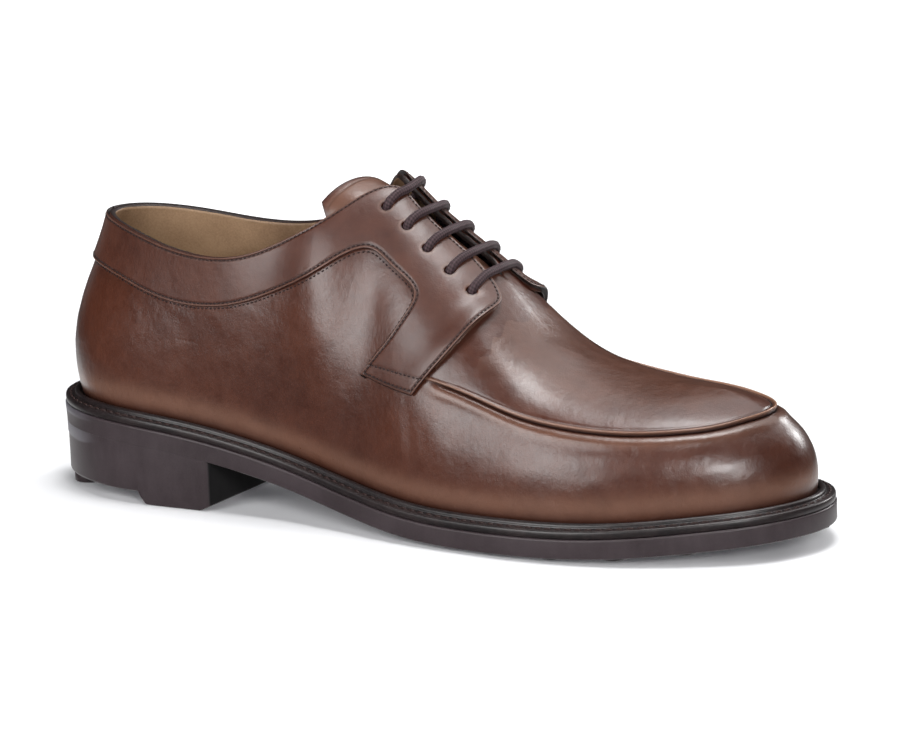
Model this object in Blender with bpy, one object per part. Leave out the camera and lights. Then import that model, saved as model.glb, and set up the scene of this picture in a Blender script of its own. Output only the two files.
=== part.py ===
# Apron-front derby shoe for the right foot, with a stitched welt, a rubber sole and a rubber heel.
# The toe points to +X, the inner side of the foot faces +Y and the shoe stands on z = 0.
import bmesh
import bpy
import numpy as np
from mathutils import Matrix
from mathutils import Vector

for old in list(bpy.data.objects):
    bpy.data.objects.remove(old)

# Sizes are in millimetres, counted along the shoe from the back of the heel. MM turns them into metres.
MM = 0.001
UPPER_WALL = 2.0
PIECE_GAP = 0.4
OVERLAY_GAP = 0.72
QUARTER_THICKNESS = 1.3
APRON_THICKNESS = 1.0
TONGUE_THICKNESS = 1.8
TONGUE_SKEW = 0.25
WELT_THICKNESS = 3.0
WELT_INNER_REACH = -2.8
SOLE_THICKNESS = 6.6
SOLE_REACH_AT_BACK = 7.2
SOLE_REACH_AT_HEEL = 5.6
SOLE_REACH_AT_TOE = 6.4
SOLE_BACK_SPAN = 17.0
SOLE_LIP = 0.3
STUD_HEIGHT = 1.8
STUD_RADIUS = 5.5
STUD_SIDES = 8
HEEL_LENGTH = 77.0
HEEL_PAD_START = 47.0
HEEL_PAD_SLOPE = 1.0
HEEL_RECESS = 4.6
HEEL_INSET = 0.4
INSOLE_REACH = -3.4
INSOLE_RISE = 1.5
LACE_RADIUS = 1.5
LACE_SIDES = 8
EYELET_RADIUS = 1.9
EYELET_SIDES = 8
EYELET_DEPTH = 12.0
CELLS_PER_SECTION = 3
UPPER_ROWS = 11
QUARTER_ROWS = 4
APRON_ROWS = 5

# One row for each section of the last, from the back of the heel to the tip of the toe. A section is a
# cubic curve from the sole edge (foot) up to the top line of the collar or to the ridge of the instep (top).
# It leaves the sole edge leaning out by lean degrees and reaches the top from the plan direction heading,
# where 180 is the back, 90 the side and 0 the toe, falling by drop degrees. The reaches are its handles.
SECTION_COLUMNS = (
    "foot_x", "outer_y", "inner_y", "top_x", "outer_top_y", "inner_top_y", "outer_top_z", "inner_top_z",
    "lean", "low_reach", "heading", "drop", "high_reach",
)
SECTIONS = (
    (5.6, 0.0, 0.0, 18.6, 0.0, 0.0, 99.4, 99.4, 14, 30, 180, 74, 24),
    (12.5, -17.5, 17.0, 24.6, -11.2, 11.2, 98.8, 99.0, 14, 30, 125, 76, 24),
    (32.0, -28.8, 27.0, 40.8, -20.8, 20.4, 96.2, 96.8, 12, 28, 98, 79, 22),
    (62.0, -31.0, 28.0, 64.0, -26.8, 26.0, 91.8, 93.4, 10, 26, 90, 81, 20),
    (90.0, -30.4, 26.4, 90.0, -28.2, 26.8, 92.4, 94.6, 10, 28, 90, 79, 20),
    (112.0, -31.2, 25.6, 109.0, -24.8, 24.0, 99.6, 101.4, 10, 32, 90, 66, 20),
    (130.0, -34.2, 27.2, 123.0, -19.5, 19.0, 107.6, 109.8, 9, 36, 90, 48, 20),
    (145.0, -37.4, 30.2, 136.5, -5.6, 5.2, 115.4, 118.6, 8, 38, 90, 26, 20),
    (158.0, -40.2, 33.8, 147.0, -1.0, 1.0, 110.4, 111.0, 8, 38, 90, 8, 23),
    (172.0, -42.2, 38.2, 160.0, 0.0, 0.0, 100.4, 100.4, 9, 34, 90, 1, 26),
    (188.0, -43.6, 42.4, 178.0, 0.0, 0.0, 87.0, 87.0, 10, 27, 90, 3, 27.6),
    (206.0, -44.2, 45.4, 198.0, 0.0, 0.0, 66.8, 66.8, 12, 24.5, 90, 2, 33.2),
    (226.0, -42.6, 44.8, 218.0, 0.6, 0.6, 56.9, 56.9, 13, 22.4, 90, 1.5, 37),
    (246.0, -37.6, 41.4, 236.0, 1.6, 1.6, 53.5, 53.5, 13, 20.5, 86, 2, 36),
    (266.0, -28.4, 34.8, 249.0, 2.6, 2.6, 52.9, 52.9, 12, 19.1, 70, 4.6, 32.2),
    (283.0, -17.0, 25.0, 257.0, 3.1, 3.1, 52.5, 52.5, 11, 17.8, 48, 8.2, 27),
    (293.6, 4.0, 4.0, 262.0, 3.3, 3.3, 52.1, 52.1, 10, 18, 0, 10, 25),
)

# Height of the top of the welt along the shoe: heel seat, arch, flat of the ball and toe spring.
WELT_HEIGHT_COLUMNS = ("x", "z")
WELT_HEIGHT = (
    (0.0, 33.4), (40.0, 32.1), (80.0, 27.7), (120.0, 19.6), (160.0, 12.7), (178.0, 11.5),
    (200.0, 11.4), (222.0, 11.7), (250.0, 13.2), (275.0, 15.4), (300.0, 17.6),
)

# Cross-section of the welt: reach out from the sole edge and height over the top of the welt.
WELT_PROFILE_COLUMNS = ("reach", "height")
WELT_PROFILE = (
    (WELT_INNER_REACH, 0.0), (1.1, 0.0), (1.6, 1.4), (2.4, 1.7), (3.2, 0.2), (6.0, -0.4),
    (6.0, -WELT_THICKNESS), (WELT_INNER_REACH, -WELT_THICKNESS),
)

# Edge of the throat: station along the sole edge and share of the way up the section.
THROAT_COLUMNS = ("station", "rise")
THROAT = (
    (159.5, 1.0), (162.5, 0.992), (165.5, 0.972), (169.5, 0.951), (176.0, 0.938), (186.0, 0.931),
    (193.4, 0.925), (199.4, 1.0),
)

# Outline of a quarter, from the back seam to the foot of its tab: the lower seam and the facing upper edge.
QUARTER_COLUMNS = ("seam_station", "seam_rise", "edge_station", "edge_rise")
QUARTER = (
    (0.3, 0.735, 0.3, 1.0), (20.0, 0.741, 20.0, 1.0), (42.0, 0.716, 42.0, 1.0), (70.0, 0.683, 70.0, 1.0),
    (100.0, 0.719, 99.0, 1.0), (122.0, 0.733, 121.5, 1.0), (140.0, 0.731, 139.7, 1.0),
    (150.0, 0.714, 150.0, 1.0), (156.0, 0.694, 159.0, 1.0), (163.0, 0.664, 166.5, 0.966),
    (169.8, 0.647, 176.0, 0.938), (175.4, 0.636, 186.0, 0.931), (177.3, 0.612, 195.0, 0.923),
    (176.2, 0.573, 201.8, 0.888), (173.0, 0.518, 202.2, 0.788), (167.5, 0.447, 195.7, 0.596),
    (161.0, 0.387, 187.5, 0.45), (154.2, 0.332, 178.0, 0.327),
)

# Edge of the apron: station along the sole edge and share of the way up the section on either side.
APRON_COLUMNS = ("station", "outer_rise", "inner_rise")
APRON = (
    (186.0, 0.4, 0.42), (207.0, 0.456, 0.51), (226.0, 0.508, 0.606), (250.0, 0.538, 0.66),
    (273.0, 0.568, 0.674), (293.0, 0.616, 0.662), (308.0, 0.672, 0.686), (323.0, 0.704, 0.704),
)

# Rear edge of the apron, which follows the front of the tab, by share of the way from its edge to the ridge.
APRON_REAR_COLUMNS = ("share", "station")
APRON_REAR = ((0.0, 186.2), (0.22, 195.4), (0.42, 200.8), (0.64, 204.6), (0.8, 205.4), (1.0, 205.2))

# Middle line of the tongue from under the vamp to its free top, with its half width and its arch radius.
# Its top is skewed, so that the outer corner lies further back.
TONGUE_COLUMNS = ("x", "z", "half_width", "radius")
TONGUE = (
    (194.0, 67.0, 13.0, 16.0), (186.0, 75.4, 15.5, 15.5), (172.0, 87.8, 18.0, 15.0),
    (158.0, 97.4, 20.5, 15.0), (144.0, 107.2, 23.0, 16.5), (134.0, 113.1, 24.5, 18.0),
    (127.5, 116.0, 23.0, 18.0), (122.5, 117.4, 16.5, 18.0),
)

# Eyelets of one facing, from the top down: station along the sole edge and share of the way up.
EYELET_COLUMNS = ("station", "rise")
EYELETS = ((158.6, 0.864), (169.1, 0.821), (178.7, 0.799), (187.5, 0.785), (195.2, 0.783))

# Studs of the forefoot and of the heel: place along and across the shoe.
STUD_COLUMNS = ("x", "y")
FOREFOOT_STUDS = (
    (176.0, -34.0), (176.0, -10.0), (176.0, 14.0), (176.0, 32.0), (197.0, -40.5), (197.0, -12.0),
    (197.0, 14.0), (197.0, 39.0), (218.0, -40.5), (218.0, -12.0), (218.0, 14.0), (218.0, 40.0),
    (239.0, -36.0), (239.0, -11.0), (239.0, 14.0), (239.0, 38.0), (260.0, -26.0), (260.0, 2.0),
    (260.0, 29.0), (279.0, 4.0),
)
HEEL_STUDS = ((10.5, -13.5), (10.5, 13.5), (32.0, -14.0), (32.0, 14.0))

COLOURS = {
    "upper": (0.115, 0.043, 0.024), "overlay": (0.105, 0.038, 0.021), "welt": (0.018, 0.011, 0.009),
    "rubber": (0.045, 0.037, 0.037), "lace": (0.028, 0.014, 0.014), "insole": (0.42, 0.27, 0.15),
}


def column(rows, names, name):
    return np.array([row[names.index(name)] for row in rows], float)


def spline(knots, values, at):
    # Natural cubic curve through rows of values, bent least between its knots.
    knots = np.asarray(knots, float)
    values = np.asarray(values, float)
    at = np.asarray(at, float)
    span = np.diff(knots)
    count = len(knots)
    system = np.eye(count)
    change = np.zeros_like(values)
    for row in range(1, count - 1):
        system[row, row - 1:row + 2] = span[row - 1], 2 * (span[row - 1] + span[row]), span[row]
        after = (values[row + 1] - values[row]) / span[row]
        before = (values[row] - values[row - 1]) / span[row - 1]
        change[row] = 6 * (after - before)
    bend = np.linalg.solve(system, change)
    place = np.clip(np.searchsorted(knots, at, side="right") - 1, 0, count - 2)
    tail = (...,) + (None,) * (values.ndim - 1)
    width = span[place][tail]
    late = ((at - knots[place]) / span[place])[tail]
    early = 1 - late
    bow = (early ** 3 - early) * bend[place] + (late ** 3 - late) * bend[place + 1]
    return early * values[place] + late * values[place + 1] + bow * width ** 2 / 6


def section_loop():
    # Both sides of the sections as one loop: outer side to the toe, then inner side back to the heel.
    values = {name: column(SECTIONS, SECTION_COLUMNS, name) for name in SECTION_COLUMNS}
    step = np.hypot(np.diff(values["foot_x"]), np.diff(values["outer_y"]))
    stations = np.concatenate([[0.0], np.cumsum(step)])
    heading = np.radians(values["heading"])
    shared = [values[name] for name in ("lean", "low_reach", "drop", "high_reach")]
    sides = []
    for side, sign in (("outer", -1.0), ("inner", 1.0)):
        plan = [values["foot_x"], values[side + "_y"], values["top_x"], values[side + "_top_y"]]
        top = [values[side + "_top_z"], np.cos(heading), sign * np.sin(heading)]
        sides.append(np.stack(plan + top + shared, axis=1))
    toe = stations[-1]
    knots = np.concatenate([stations, 2 * toe - stations[-2:0:-1]])
    rows = np.concatenate([sides[0], sides[1][-2:0:-1]])
    wrap = 6
    knots = np.concatenate([knots[-wrap:] - 2 * toe, knots, knots[:wrap + 1] + 2 * toe])
    rows = np.concatenate([rows[-wrap:], rows, rows[:wrap + 1]])
    return stations, knots, rows


STATIONS, LOOP_KNOTS, LOOP_ROWS = section_loop()
TOE = STATIONS[-1]
AROUND = 2 * TOE


def welt_height(x):
    knots = column(WELT_HEIGHT, WELT_HEIGHT_COLUMNS, "x")
    return spline(knots, column(WELT_HEIGHT, WELT_HEIGHT_COLUMNS, "z"), np.clip(x, 0.0, knots[-1]))


def section(station):
    return spline(LOOP_KNOTS, LOOP_ROWS, np.mod(station, AROUND))


def outward(station):
    ahead = section(station + 0.1)[..., 0:2] - section(station - 0.1)[..., 0:2]
    ahead = ahead / np.linalg.norm(ahead, axis=-1, keepdims=True)
    return np.stack([ahead[..., 1], -ahead[..., 0]], axis=-1)


def edge(station, reach):
    # Plan point at a distance outside the sole edge of the upper.
    station = np.asarray(station, float)
    return section(station)[..., 0:2] + outward(station) * np.asarray(reach, float)[..., None]


def skin(station, rise):
    # Outer skin of the upper: a cubic curve up each section from the sole edge to its top.
    station, rise = np.broadcast_arrays(np.asarray(station, float), np.asarray(rise, float))
    row = section(station)
    out = outward(station)
    foot = np.stack([row[..., 0], row[..., 1], welt_height(row[..., 0]) + PIECE_GAP], axis=-1)
    top = row[..., 2:5].copy()
    lean = np.radians(row[..., 7])
    low = np.stack([out[..., 0] * np.sin(lean), out[..., 1] * np.sin(lean), np.cos(lean)], axis=-1)
    plan = row[..., 5:7] / np.linalg.norm(row[..., 5:7], axis=-1, keepdims=True)
    drop = np.radians(row[..., 9])
    high = np.stack([plan[..., 0] * np.cos(drop), plan[..., 1] * np.cos(drop), -np.sin(drop)], axis=-1)
    low = foot + low * row[..., 8:9]
    high = top + high * row[..., 10:11]
    up = rise[..., None]
    down = 1 - up
    return down ** 3 * foot + 3 * down ** 2 * up * low + 3 * down * up ** 2 * high + up ** 3 * top


def lifted(station, rise, lift):
    # Point at a distance above the outer skin, along its normal.
    station, rise = np.broadcast_arrays(np.asarray(station, float), np.asarray(rise, float))
    inside = np.clip(rise, 0.01, 0.985)
    along = skin(station + 0.2, inside) - skin(station - 0.2, inside)
    upward = skin(station, inside + 0.005) - skin(station, inside - 0.005)
    normal = np.cross(along, upward)
    normal = normal / np.linalg.norm(normal, axis=-1, keepdims=True)
    return skin(station, rise) + normal * lift


def side_station(station, side):
    # The inner side runs back from the toe, so its stations count down from the whole way round.
    return np.asarray(station, float) if side == "outer" else AROUND - np.asarray(station, float)


def sole_reach(station):
    # Reach of the sole beyond the upper, growing from the heel to the toe, and larger at the very back.
    x = section(station)[..., 0]
    share = np.clip((x - 60.0) / 140.0, 0.0, 1.0)
    around = np.mod(station, AROUND)
    back = np.exp(-(np.minimum(around, AROUND - around) / SOLE_BACK_SPAN) ** 2)
    reach = SOLE_REACH_AT_HEEL + (SOLE_REACH_AT_TOE - SOLE_REACH_AT_HEEL) * share
    return reach + (SOLE_REACH_AT_BACK - SOLE_REACH_AT_HEEL) * back


def loop_stations():
    # Every section interval is split into equal cells, all the way round the shoe.
    cells = np.arange(CELLS_PER_SECTION) / CELLS_PER_SECTION
    half = (STATIONS[:-1, None] + np.diff(STATIONS)[:, None] * cells).ravel()
    return np.concatenate([half, [TOE], AROUND - half[:0:-1]])


LOOP = loop_stations()
BORDER = edge(LOOP, sole_reach(LOOP) + SOLE_LIP)
ORIGIN = np.append((BORDER.min(axis=0) + BORDER.max(axis=0)) / 2, 0.0)


def coat(name, colour, roughness):
    material = bpy.data.materials.new(name + "_material")
    material.use_nodes = True
    shader = material.node_tree.nodes["Principled BSDF"]
    shader.inputs["Base Color"].default_value = (*COLOURS[colour], 1.0)
    shader.inputs["Roughness"].default_value = roughness
    return material


def add_object(name, points, faces, closed):
    mesh = bpy.data.meshes.new(name)
    mesh.from_pydata(((np.reshape(points, (-1, 3)) - ORIGIN) * MM).tolist(), [], faces)
    shape = bmesh.new()
    shape.from_mesh(mesh)
    bmesh.ops.remove_doubles(shape, verts=shape.verts, dist=0.001 * MM)
    if closed:
        bmesh.ops.recalc_face_normals(shape, faces=shape.faces)
    shape.to_mesh(mesh)
    shape.free()
    item = bpy.data.objects.new(name, mesh)
    bpy.context.scene.collection.objects.link(item)
    return item


def finish(item, colour, roughness):
    item.data.materials.append(coat(item.name, colour, roughness))
    return item


def thicken(item, thickness, direction):
    # Direction 1 grows the sheet outwards, -1 inwards.
    modifier = item.modifiers.new("wall", "SOLIDIFY")
    modifier.thickness = thickness * MM
    modifier.offset = direction
    modifier.use_even_offset = True
    modifier.use_quality_normals = True
    modifier.use_rim = True


def combine(item, other, operation):
    modifier = item.modifiers.new(other.name, "BOOLEAN")
    modifier.operation = operation
    modifier.solver = "EXACT"
    modifier.object = other
    other.hide_render = True
    other.hide_viewport = True


def grid_faces(rows, columns, closed_columns=False):
    # Quads between neighbours of a grid of points; the last column may join the first.
    last = columns if closed_columns else columns - 1
    faces = []
    for row in range(rows - 1):
        for cell in range(last):
            beside = (cell + 1) % columns
            near = row * columns
            far = near + columns
            faces.append((near + cell, far + cell, far + beside, near + beside))
    return faces


def make_upper():
    table = [column(THROAT, THROAT_COLUMNS, name) for name in THROAT_COLUMNS]
    half = np.minimum(LOOP, AROUND - LOOP)
    top = np.interp(half, table[0], table[1], left=1.0, right=1.0)
    rise = np.linspace(0.0, 1.0, UPPER_ROWS + 1)[None, :] * top[:, None]
    points = skin(np.broadcast_to(LOOP[:, None], rise.shape), rise)
    # In front of the throat both sides meet along the ridge.
    count = len(LOOP)
    for place in range(1, count // 2):
        if half[place] > table[0][-1] - 0.5:
            middle = (points[place, -1] + points[count - place, -1]) / 2
            points[place, -1] = middle
            points[count - place, -1] = middle
    ring = np.concatenate([points, points[:1]])
    item = add_object("upper", ring, grid_faces(len(ring), UPPER_ROWS + 1), False)
    thicken(item, UPPER_WALL, -1)
    return finish(item, "upper", 0.4)


def quarter_grid(side):
    # Ribbon between the lower seam and the upper edge, both smooth curves through the table rows.
    rows = np.arange(len(QUARTER), dtype=float)
    values = np.stack([column(QUARTER, QUARTER_COLUMNS, name) for name in QUARTER_COLUMNS], axis=1)
    curve = spline(rows, values, np.linspace(0.0, rows[-1], 2 * len(QUARTER) - 1))
    across = np.linspace(0.0, 1.0, QUARTER_ROWS + 1)[None, :]
    station = curve[:, 0:1] + (curve[:, 2:3] - curve[:, 0:1]) * across
    rise = curve[:, 1:2] + (np.minimum(curve[:, 3:4], 1.0) - curve[:, 1:2]) * across
    return lifted(side_station(station, side), rise, OVERLAY_GAP)


def make_quarter(side):
    points = quarter_grid(side)
    faces = grid_faces(points.shape[0], points.shape[1])
    if side == "inner":
        faces = [face[::-1] for face in faces]
    item = add_object("quarter_" + side, points, faces, False)
    thicken(item, QUARTER_THICKNESS, 1)
    return finish(item, "overlay", 0.4)


def make_apron():
    steps = 20
    share = np.linspace(0.0, 1.0, APRON_ROWS + 1)
    rear = np.interp(share, *[column(APRON_REAR, APRON_REAR_COLUMNS, name) for name in APRON_REAR_COLUMNS])
    table = [column(APRON, APRON_COLUMNS, name) for name in APRON_COLUMNS]
    ahead = np.linspace(0.0, 1.0, steps + 1)[:, None]
    station = rear[None, :] + (TOE - rear[None, :]) * ahead
    outer_low = spline(table[0], table[1], station)
    inner_low = spline(table[0], table[2], station)
    outer = lifted(station, outer_low + (1 - outer_low) * share[None, :], OVERLAY_GAP)
    inner = lifted(AROUND - station, inner_low + (1 - inner_low) * share[None, :], OVERLAY_GAP)
    middle = (outer[:, -1] + inner[:, -1]) / 2
    middle[-1] = lifted(TOE, 0.985, OVERLAY_GAP) + (skin(TOE, 1.0) - skin(TOE, 0.985))
    tip = (outer[-1] + inner[-1]) / 2
    outer[:, -1] = middle
    inner[:, -1] = middle
    outer[-1, :-1] = tip[:-1]
    inner[-1, :-1] = tip[:-1]
    faces = grid_faces(steps + 1, APRON_ROWS + 1)
    other = [tuple(corner + outer.size // 3 for corner in face[::-1]) for face in faces]
    item = add_object("apron", np.stack([outer, inner]), faces + other, False)
    thicken(item, APRON_THICKNESS, 1)
    return finish(item, "upper", 0.36)


def make_tongue():
    rows = np.arange(len(TONGUE), dtype=float)
    values = np.stack([column(TONGUE, TONGUE_COLUMNS, name) for name in TONGUE_COLUMNS], axis=1)
    line = spline(rows, values, np.linspace(0.0, rows[-1], 13))
    slope = np.gradient(line[:, 0:2], axis=0)
    slope = slope / np.linalg.norm(slope, axis=1, keepdims=True)
    under = np.stack([slope[:, 1], -slope[:, 0]], axis=1)
    under = under * np.sign(-under[:, 1:2])
    across = np.linspace(-1.0, 1.0, 9)[None, :]
    turn = across * line[:, 2:3] / line[:, 3:4]
    sink = (1 - np.cos(turn)) * line[:, 3:4]
    y = np.sin(turn) * line[:, 3:4]
    late = np.linspace(0.0, 1.0, len(line))[:, None] ** 4
    x = line[:, 0:1] + under[:, 0:1] * sink + TONGUE_SKEW * late * y
    z = line[:, 1:2] + under[:, 1:2] * sink
    points = np.stack([x, y, z], axis=-1)
    item = add_object("tongue", points, grid_faces(points.shape[0], points.shape[1]), False)
    thicken(item, TONGUE_THICKNESS, 1)
    return finish(item, "upper", 0.45)


def loft(name, outer, inner, top, bottom):
    # Plate between paired points of its outer and inner border, with a height for each pair.
    count = len(outer)
    ring = np.empty((count, 4, 3))
    ring[:, 0, 0:2] = outer
    ring[:, 1, 0:2] = outer
    ring[:, 2, 0:2] = inner
    ring[:, 3, 0:2] = inner
    ring[:, 0, 2] = top[0]
    ring[:, 3, 2] = top[1]
    ring[:, 1, 2] = bottom[0]
    ring[:, 2, 2] = bottom[1]
    faces = []
    for place in range(count - 1):
        for corner in range(4):
            beside = (corner + 1) % 4
            a = 4 * place
            b = a + 4
            faces.append((a + corner, b + corner, b + beside, a + beside))
    faces.append((0, 1, 2, 3))
    last = 4 * (count - 1)
    faces.append((last + 3, last + 2, last + 1, last))
    item = add_object(name, ring, faces, True)
    clean = bmesh.new()
    clean.from_mesh(item.data)
    bmesh.ops.dissolve_degenerate(clean, dist=0.002 * MM, edges=clean.edges)
    bmesh.ops.recalc_face_normals(clean, faces=clean.faces)
    clean.to_mesh(item.data)
    clean.free()
    return item


def half_stations():
    return LOOP[:len(LOOP) // 2 + 1]


def tread(x):
    # Underside of the sole plate.
    return welt_height(x) - WELT_THICKNESS - PIECE_GAP - SOLE_THICKNESS


def add_studs(item, places, low, high):
    for number, (x, y) in enumerate(places):
        shape = bmesh.new()
        bmesh.ops.create_cone(
            shape, cap_ends=True, segments=STUD_SIDES, radius1=STUD_RADIUS * MM, radius2=STUD_RADIUS * MM,
            depth=(high(x) - low(x)) * MM,
        )
        middle = (np.array([x, y, (high(x) + low(x)) / 2]) - ORIGIN) * MM
        bmesh.ops.translate(shape, verts=shape.verts, vec=Vector(middle))
        mesh = bpy.data.meshes.new(item.name + "_stud")
        shape.to_mesh(mesh)
        shape.free()
        stud = bpy.data.objects.new(f"{item.name}_stud_{number + 1}", mesh)
        bpy.context.scene.collection.objects.link(stud)
        combine(item, stud, "UNION")


def stud_foot(x):
    # Studs reach the floor under the ball and stay a little above it under the toe.
    return max(float(tread(x)) - STUD_HEIGHT, 0.0)


def make_outsole():
    half = half_stations()
    outer = edge(half, sole_reach(half) + SOLE_LIP)
    inner = edge(AROUND - half, sole_reach(AROUND - half) + SOLE_LIP)
    top = [welt_height(side[:, 0]) - WELT_THICKNESS - PIECE_GAP for side in (outer, inner)]
    bottom = [tread(side[:, 0]) for side in (outer, inner)]
    item = loft("outsole", outer, inner, top, bottom)
    add_studs(item, FOREFOOT_STUDS, stud_foot, lambda x: float(tread(x)) + 2)
    return finish(item, "rubber", 0.6)


def make_heel():
    half = half_stations()
    xs = edge(half, sole_reach(half) - HEEL_INSET)[:, 0]
    fine = np.linspace(0.0, STATIONS[5], 400)
    kept = half[xs < HEEL_LENGTH - 2]
    borders = []
    for side in ("outer", "inner"):
        line = edge(side_station(fine, side), sole_reach(side_station(fine, side)) - HEEL_INSET)
        stops = [HEEL_PAD_START, HEEL_PAD_START + HEEL_PAD_SLOPE, HEEL_LENGTH]
        stations = np.sort(np.concatenate([kept, np.interp(stops, line[:, 0], fine)]))
        kept_side = side_station(stations, side)
        borders.append(edge(kept_side, sole_reach(kept_side) - HEEL_INSET))
    pad = [HEEL_PAD_START + 0.01, HEEL_PAD_START + HEEL_PAD_SLOPE - 0.01]
    top = [tread(side[:, 0]) - PIECE_GAP for side in borders]
    bottom = [np.interp(side[:, 0], pad, [HEEL_RECESS, 0.0]) for side in borders]
    item = loft("heel", borders[0], borders[1], top, bottom)
    add_studs(item, HEEL_STUDS, lambda x: 0.0, lambda x: HEEL_RECESS + 2)
    return finish(item, "rubber", 0.6)


def make_insole():
    half = half_stations()[::2]
    outer = edge(half, np.full(len(half), INSOLE_REACH))
    inner = edge(AROUND - half, np.full(len(half), INSOLE_REACH))
    top = [welt_height(side[:, 0]) + INSOLE_RISE for side in (outer, inner)]
    bottom = [welt_height(side[:, 0]) - WELT_THICKNESS for side in (outer, inner)]
    return finish(loft("insole", outer, inner, top, bottom), "insole", 0.7)


def make_welt():
    profile = [column(WELT_PROFILE, WELT_PROFILE_COLUMNS, name) for name in WELT_PROFILE_COLUMNS]
    ring = []
    for reach, height in zip(*profile):
        grown = np.where(reach > 3.5, reach - 6.0 + sole_reach(LOOP), reach)
        plan = edge(LOOP, grown)
        ring.append(np.concatenate([plan, (welt_height(plan[:, 0]) + height)[:, None]], axis=1))
    points = np.stack(ring)
    points = np.concatenate([points, points[:1]])
    item = add_object("welt", points, grid_faces(points.shape[0], points.shape[1], True), True)
    return finish(item, "welt", 0.5)


def eyelet_places(side):
    station = side_station(column(EYELETS, EYELET_COLUMNS, "station"), side)
    return station, column(EYELETS, EYELET_COLUMNS, "rise")


def punch_eyelets(item, side):
    station, rise = eyelet_places(side)
    centre = lifted(station, rise, 0.0)
    axis = lifted(station, rise, 1.0) - centre
    for number in range(len(station)):
        shape = bmesh.new()
        bmesh.ops.create_cone(
            shape, cap_ends=True, segments=EYELET_SIDES, radius1=EYELET_RADIUS * MM,
            radius2=EYELET_RADIUS * MM, depth=EYELET_DEPTH * MM,
        )
        turn = Vector((0.0, 0.0, 1.0)).rotation_difference(Vector(axis[number])).to_matrix().to_4x4()
        place = Matrix.Translation(Vector((centre[number] - ORIGIN) * MM)) @ turn
        bmesh.ops.transform(shape, matrix=place, verts=shape.verts)
        mesh = bpy.data.meshes.new("eyelet_cutter")
        shape.to_mesh(mesh)
        shape.free()
        cutter = bpy.data.objects.new(f"{item.name}_{side}_eyelet_{number + 1}", mesh)
        bpy.context.scene.collection.objects.link(cutter)
        combine(item, cutter, "DIFFERENCE")


def make_lace_bar(number):
    # A straight bar over both facings, from eyelet to eyelet.
    clear = OVERLAY_GAP + QUARTER_THICKNESS + PIECE_GAP + LACE_RADIUS
    path = []
    for side in ("outer", "inner"):
        station, rise = eyelet_places(side)
        throat = [column(THROAT, THROAT_COLUMNS, name) for name in THROAT_COLUMNS]
        brim = np.interp(EYELETS[number][0], throat[0], throat[1])
        climb = np.linspace(rise[number], brim, 3)
        part = lifted(np.full(3, station[number]), climb, clear)
        path.append(part if side == "outer" else part[::-1])
    path = np.concatenate(path)
    ahead = np.gradient(path, axis=0)
    ahead = ahead / np.linalg.norm(ahead, axis=1, keepdims=True)
    aside = np.cross(ahead, [0.0, 0.0, 1.0])
    aside = aside / np.linalg.norm(aside, axis=1, keepdims=True)
    above = np.cross(aside, ahead)
    turn = np.linspace(0.0, 2 * np.pi, LACE_SIDES, endpoint=False)[None, :, None]
    circle = np.cos(turn) * aside[:, None, :] + np.sin(turn) * above[:, None, :]
    points = path[:, None, :] + LACE_RADIUS * circle
    faces = grid_faces(len(path), LACE_SIDES, True)
    faces.append(tuple(range(LACE_SIDES)))
    faces.append(tuple(range((len(path) - 1) * LACE_SIDES, len(path) * LACE_SIDES))[::-1])
    item = add_object(f"lace_bar_{number + 1}", points, faces, True)
    return finish(item, "lace", 0.6)


make_outsole()
make_heel()
make_welt()
make_insole()
upper = make_upper()
make_apron()
make_tongue()
for facing in ("outer", "inner"):
    punch_eyelets(upper, facing)
    punch_eyelets(make_quarter(facing), facing)
for bar in range(len(EYELETS)):
    make_lace_bar(bar)
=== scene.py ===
import bmesh
import bpy
import numpy as np
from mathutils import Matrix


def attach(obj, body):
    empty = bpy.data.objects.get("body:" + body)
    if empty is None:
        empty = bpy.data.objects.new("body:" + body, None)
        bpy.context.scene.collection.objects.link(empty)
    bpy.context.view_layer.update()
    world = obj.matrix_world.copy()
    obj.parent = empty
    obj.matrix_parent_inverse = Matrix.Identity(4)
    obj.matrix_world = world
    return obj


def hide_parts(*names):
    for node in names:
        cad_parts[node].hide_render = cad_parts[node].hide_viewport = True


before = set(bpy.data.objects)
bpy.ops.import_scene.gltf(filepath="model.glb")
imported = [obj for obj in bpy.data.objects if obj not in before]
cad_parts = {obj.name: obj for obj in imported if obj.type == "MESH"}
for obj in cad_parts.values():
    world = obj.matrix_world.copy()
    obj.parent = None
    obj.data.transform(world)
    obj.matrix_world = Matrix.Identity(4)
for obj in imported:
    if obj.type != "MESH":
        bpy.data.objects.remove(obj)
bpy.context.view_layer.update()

print("frame loaded:", len(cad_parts), "solids")

# Sizes are in millimetres along the shoe from the back of the heel, and + y is the inner side of the foot.
shoePlace = {
    "millimetre": 0.001, "origin": (149.2, 0.714, 0.0),
    "mergeWithin": 2e-6, "thinnest": 1e-7,  # metres: points merged, and edges taken as having no length
}

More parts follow.
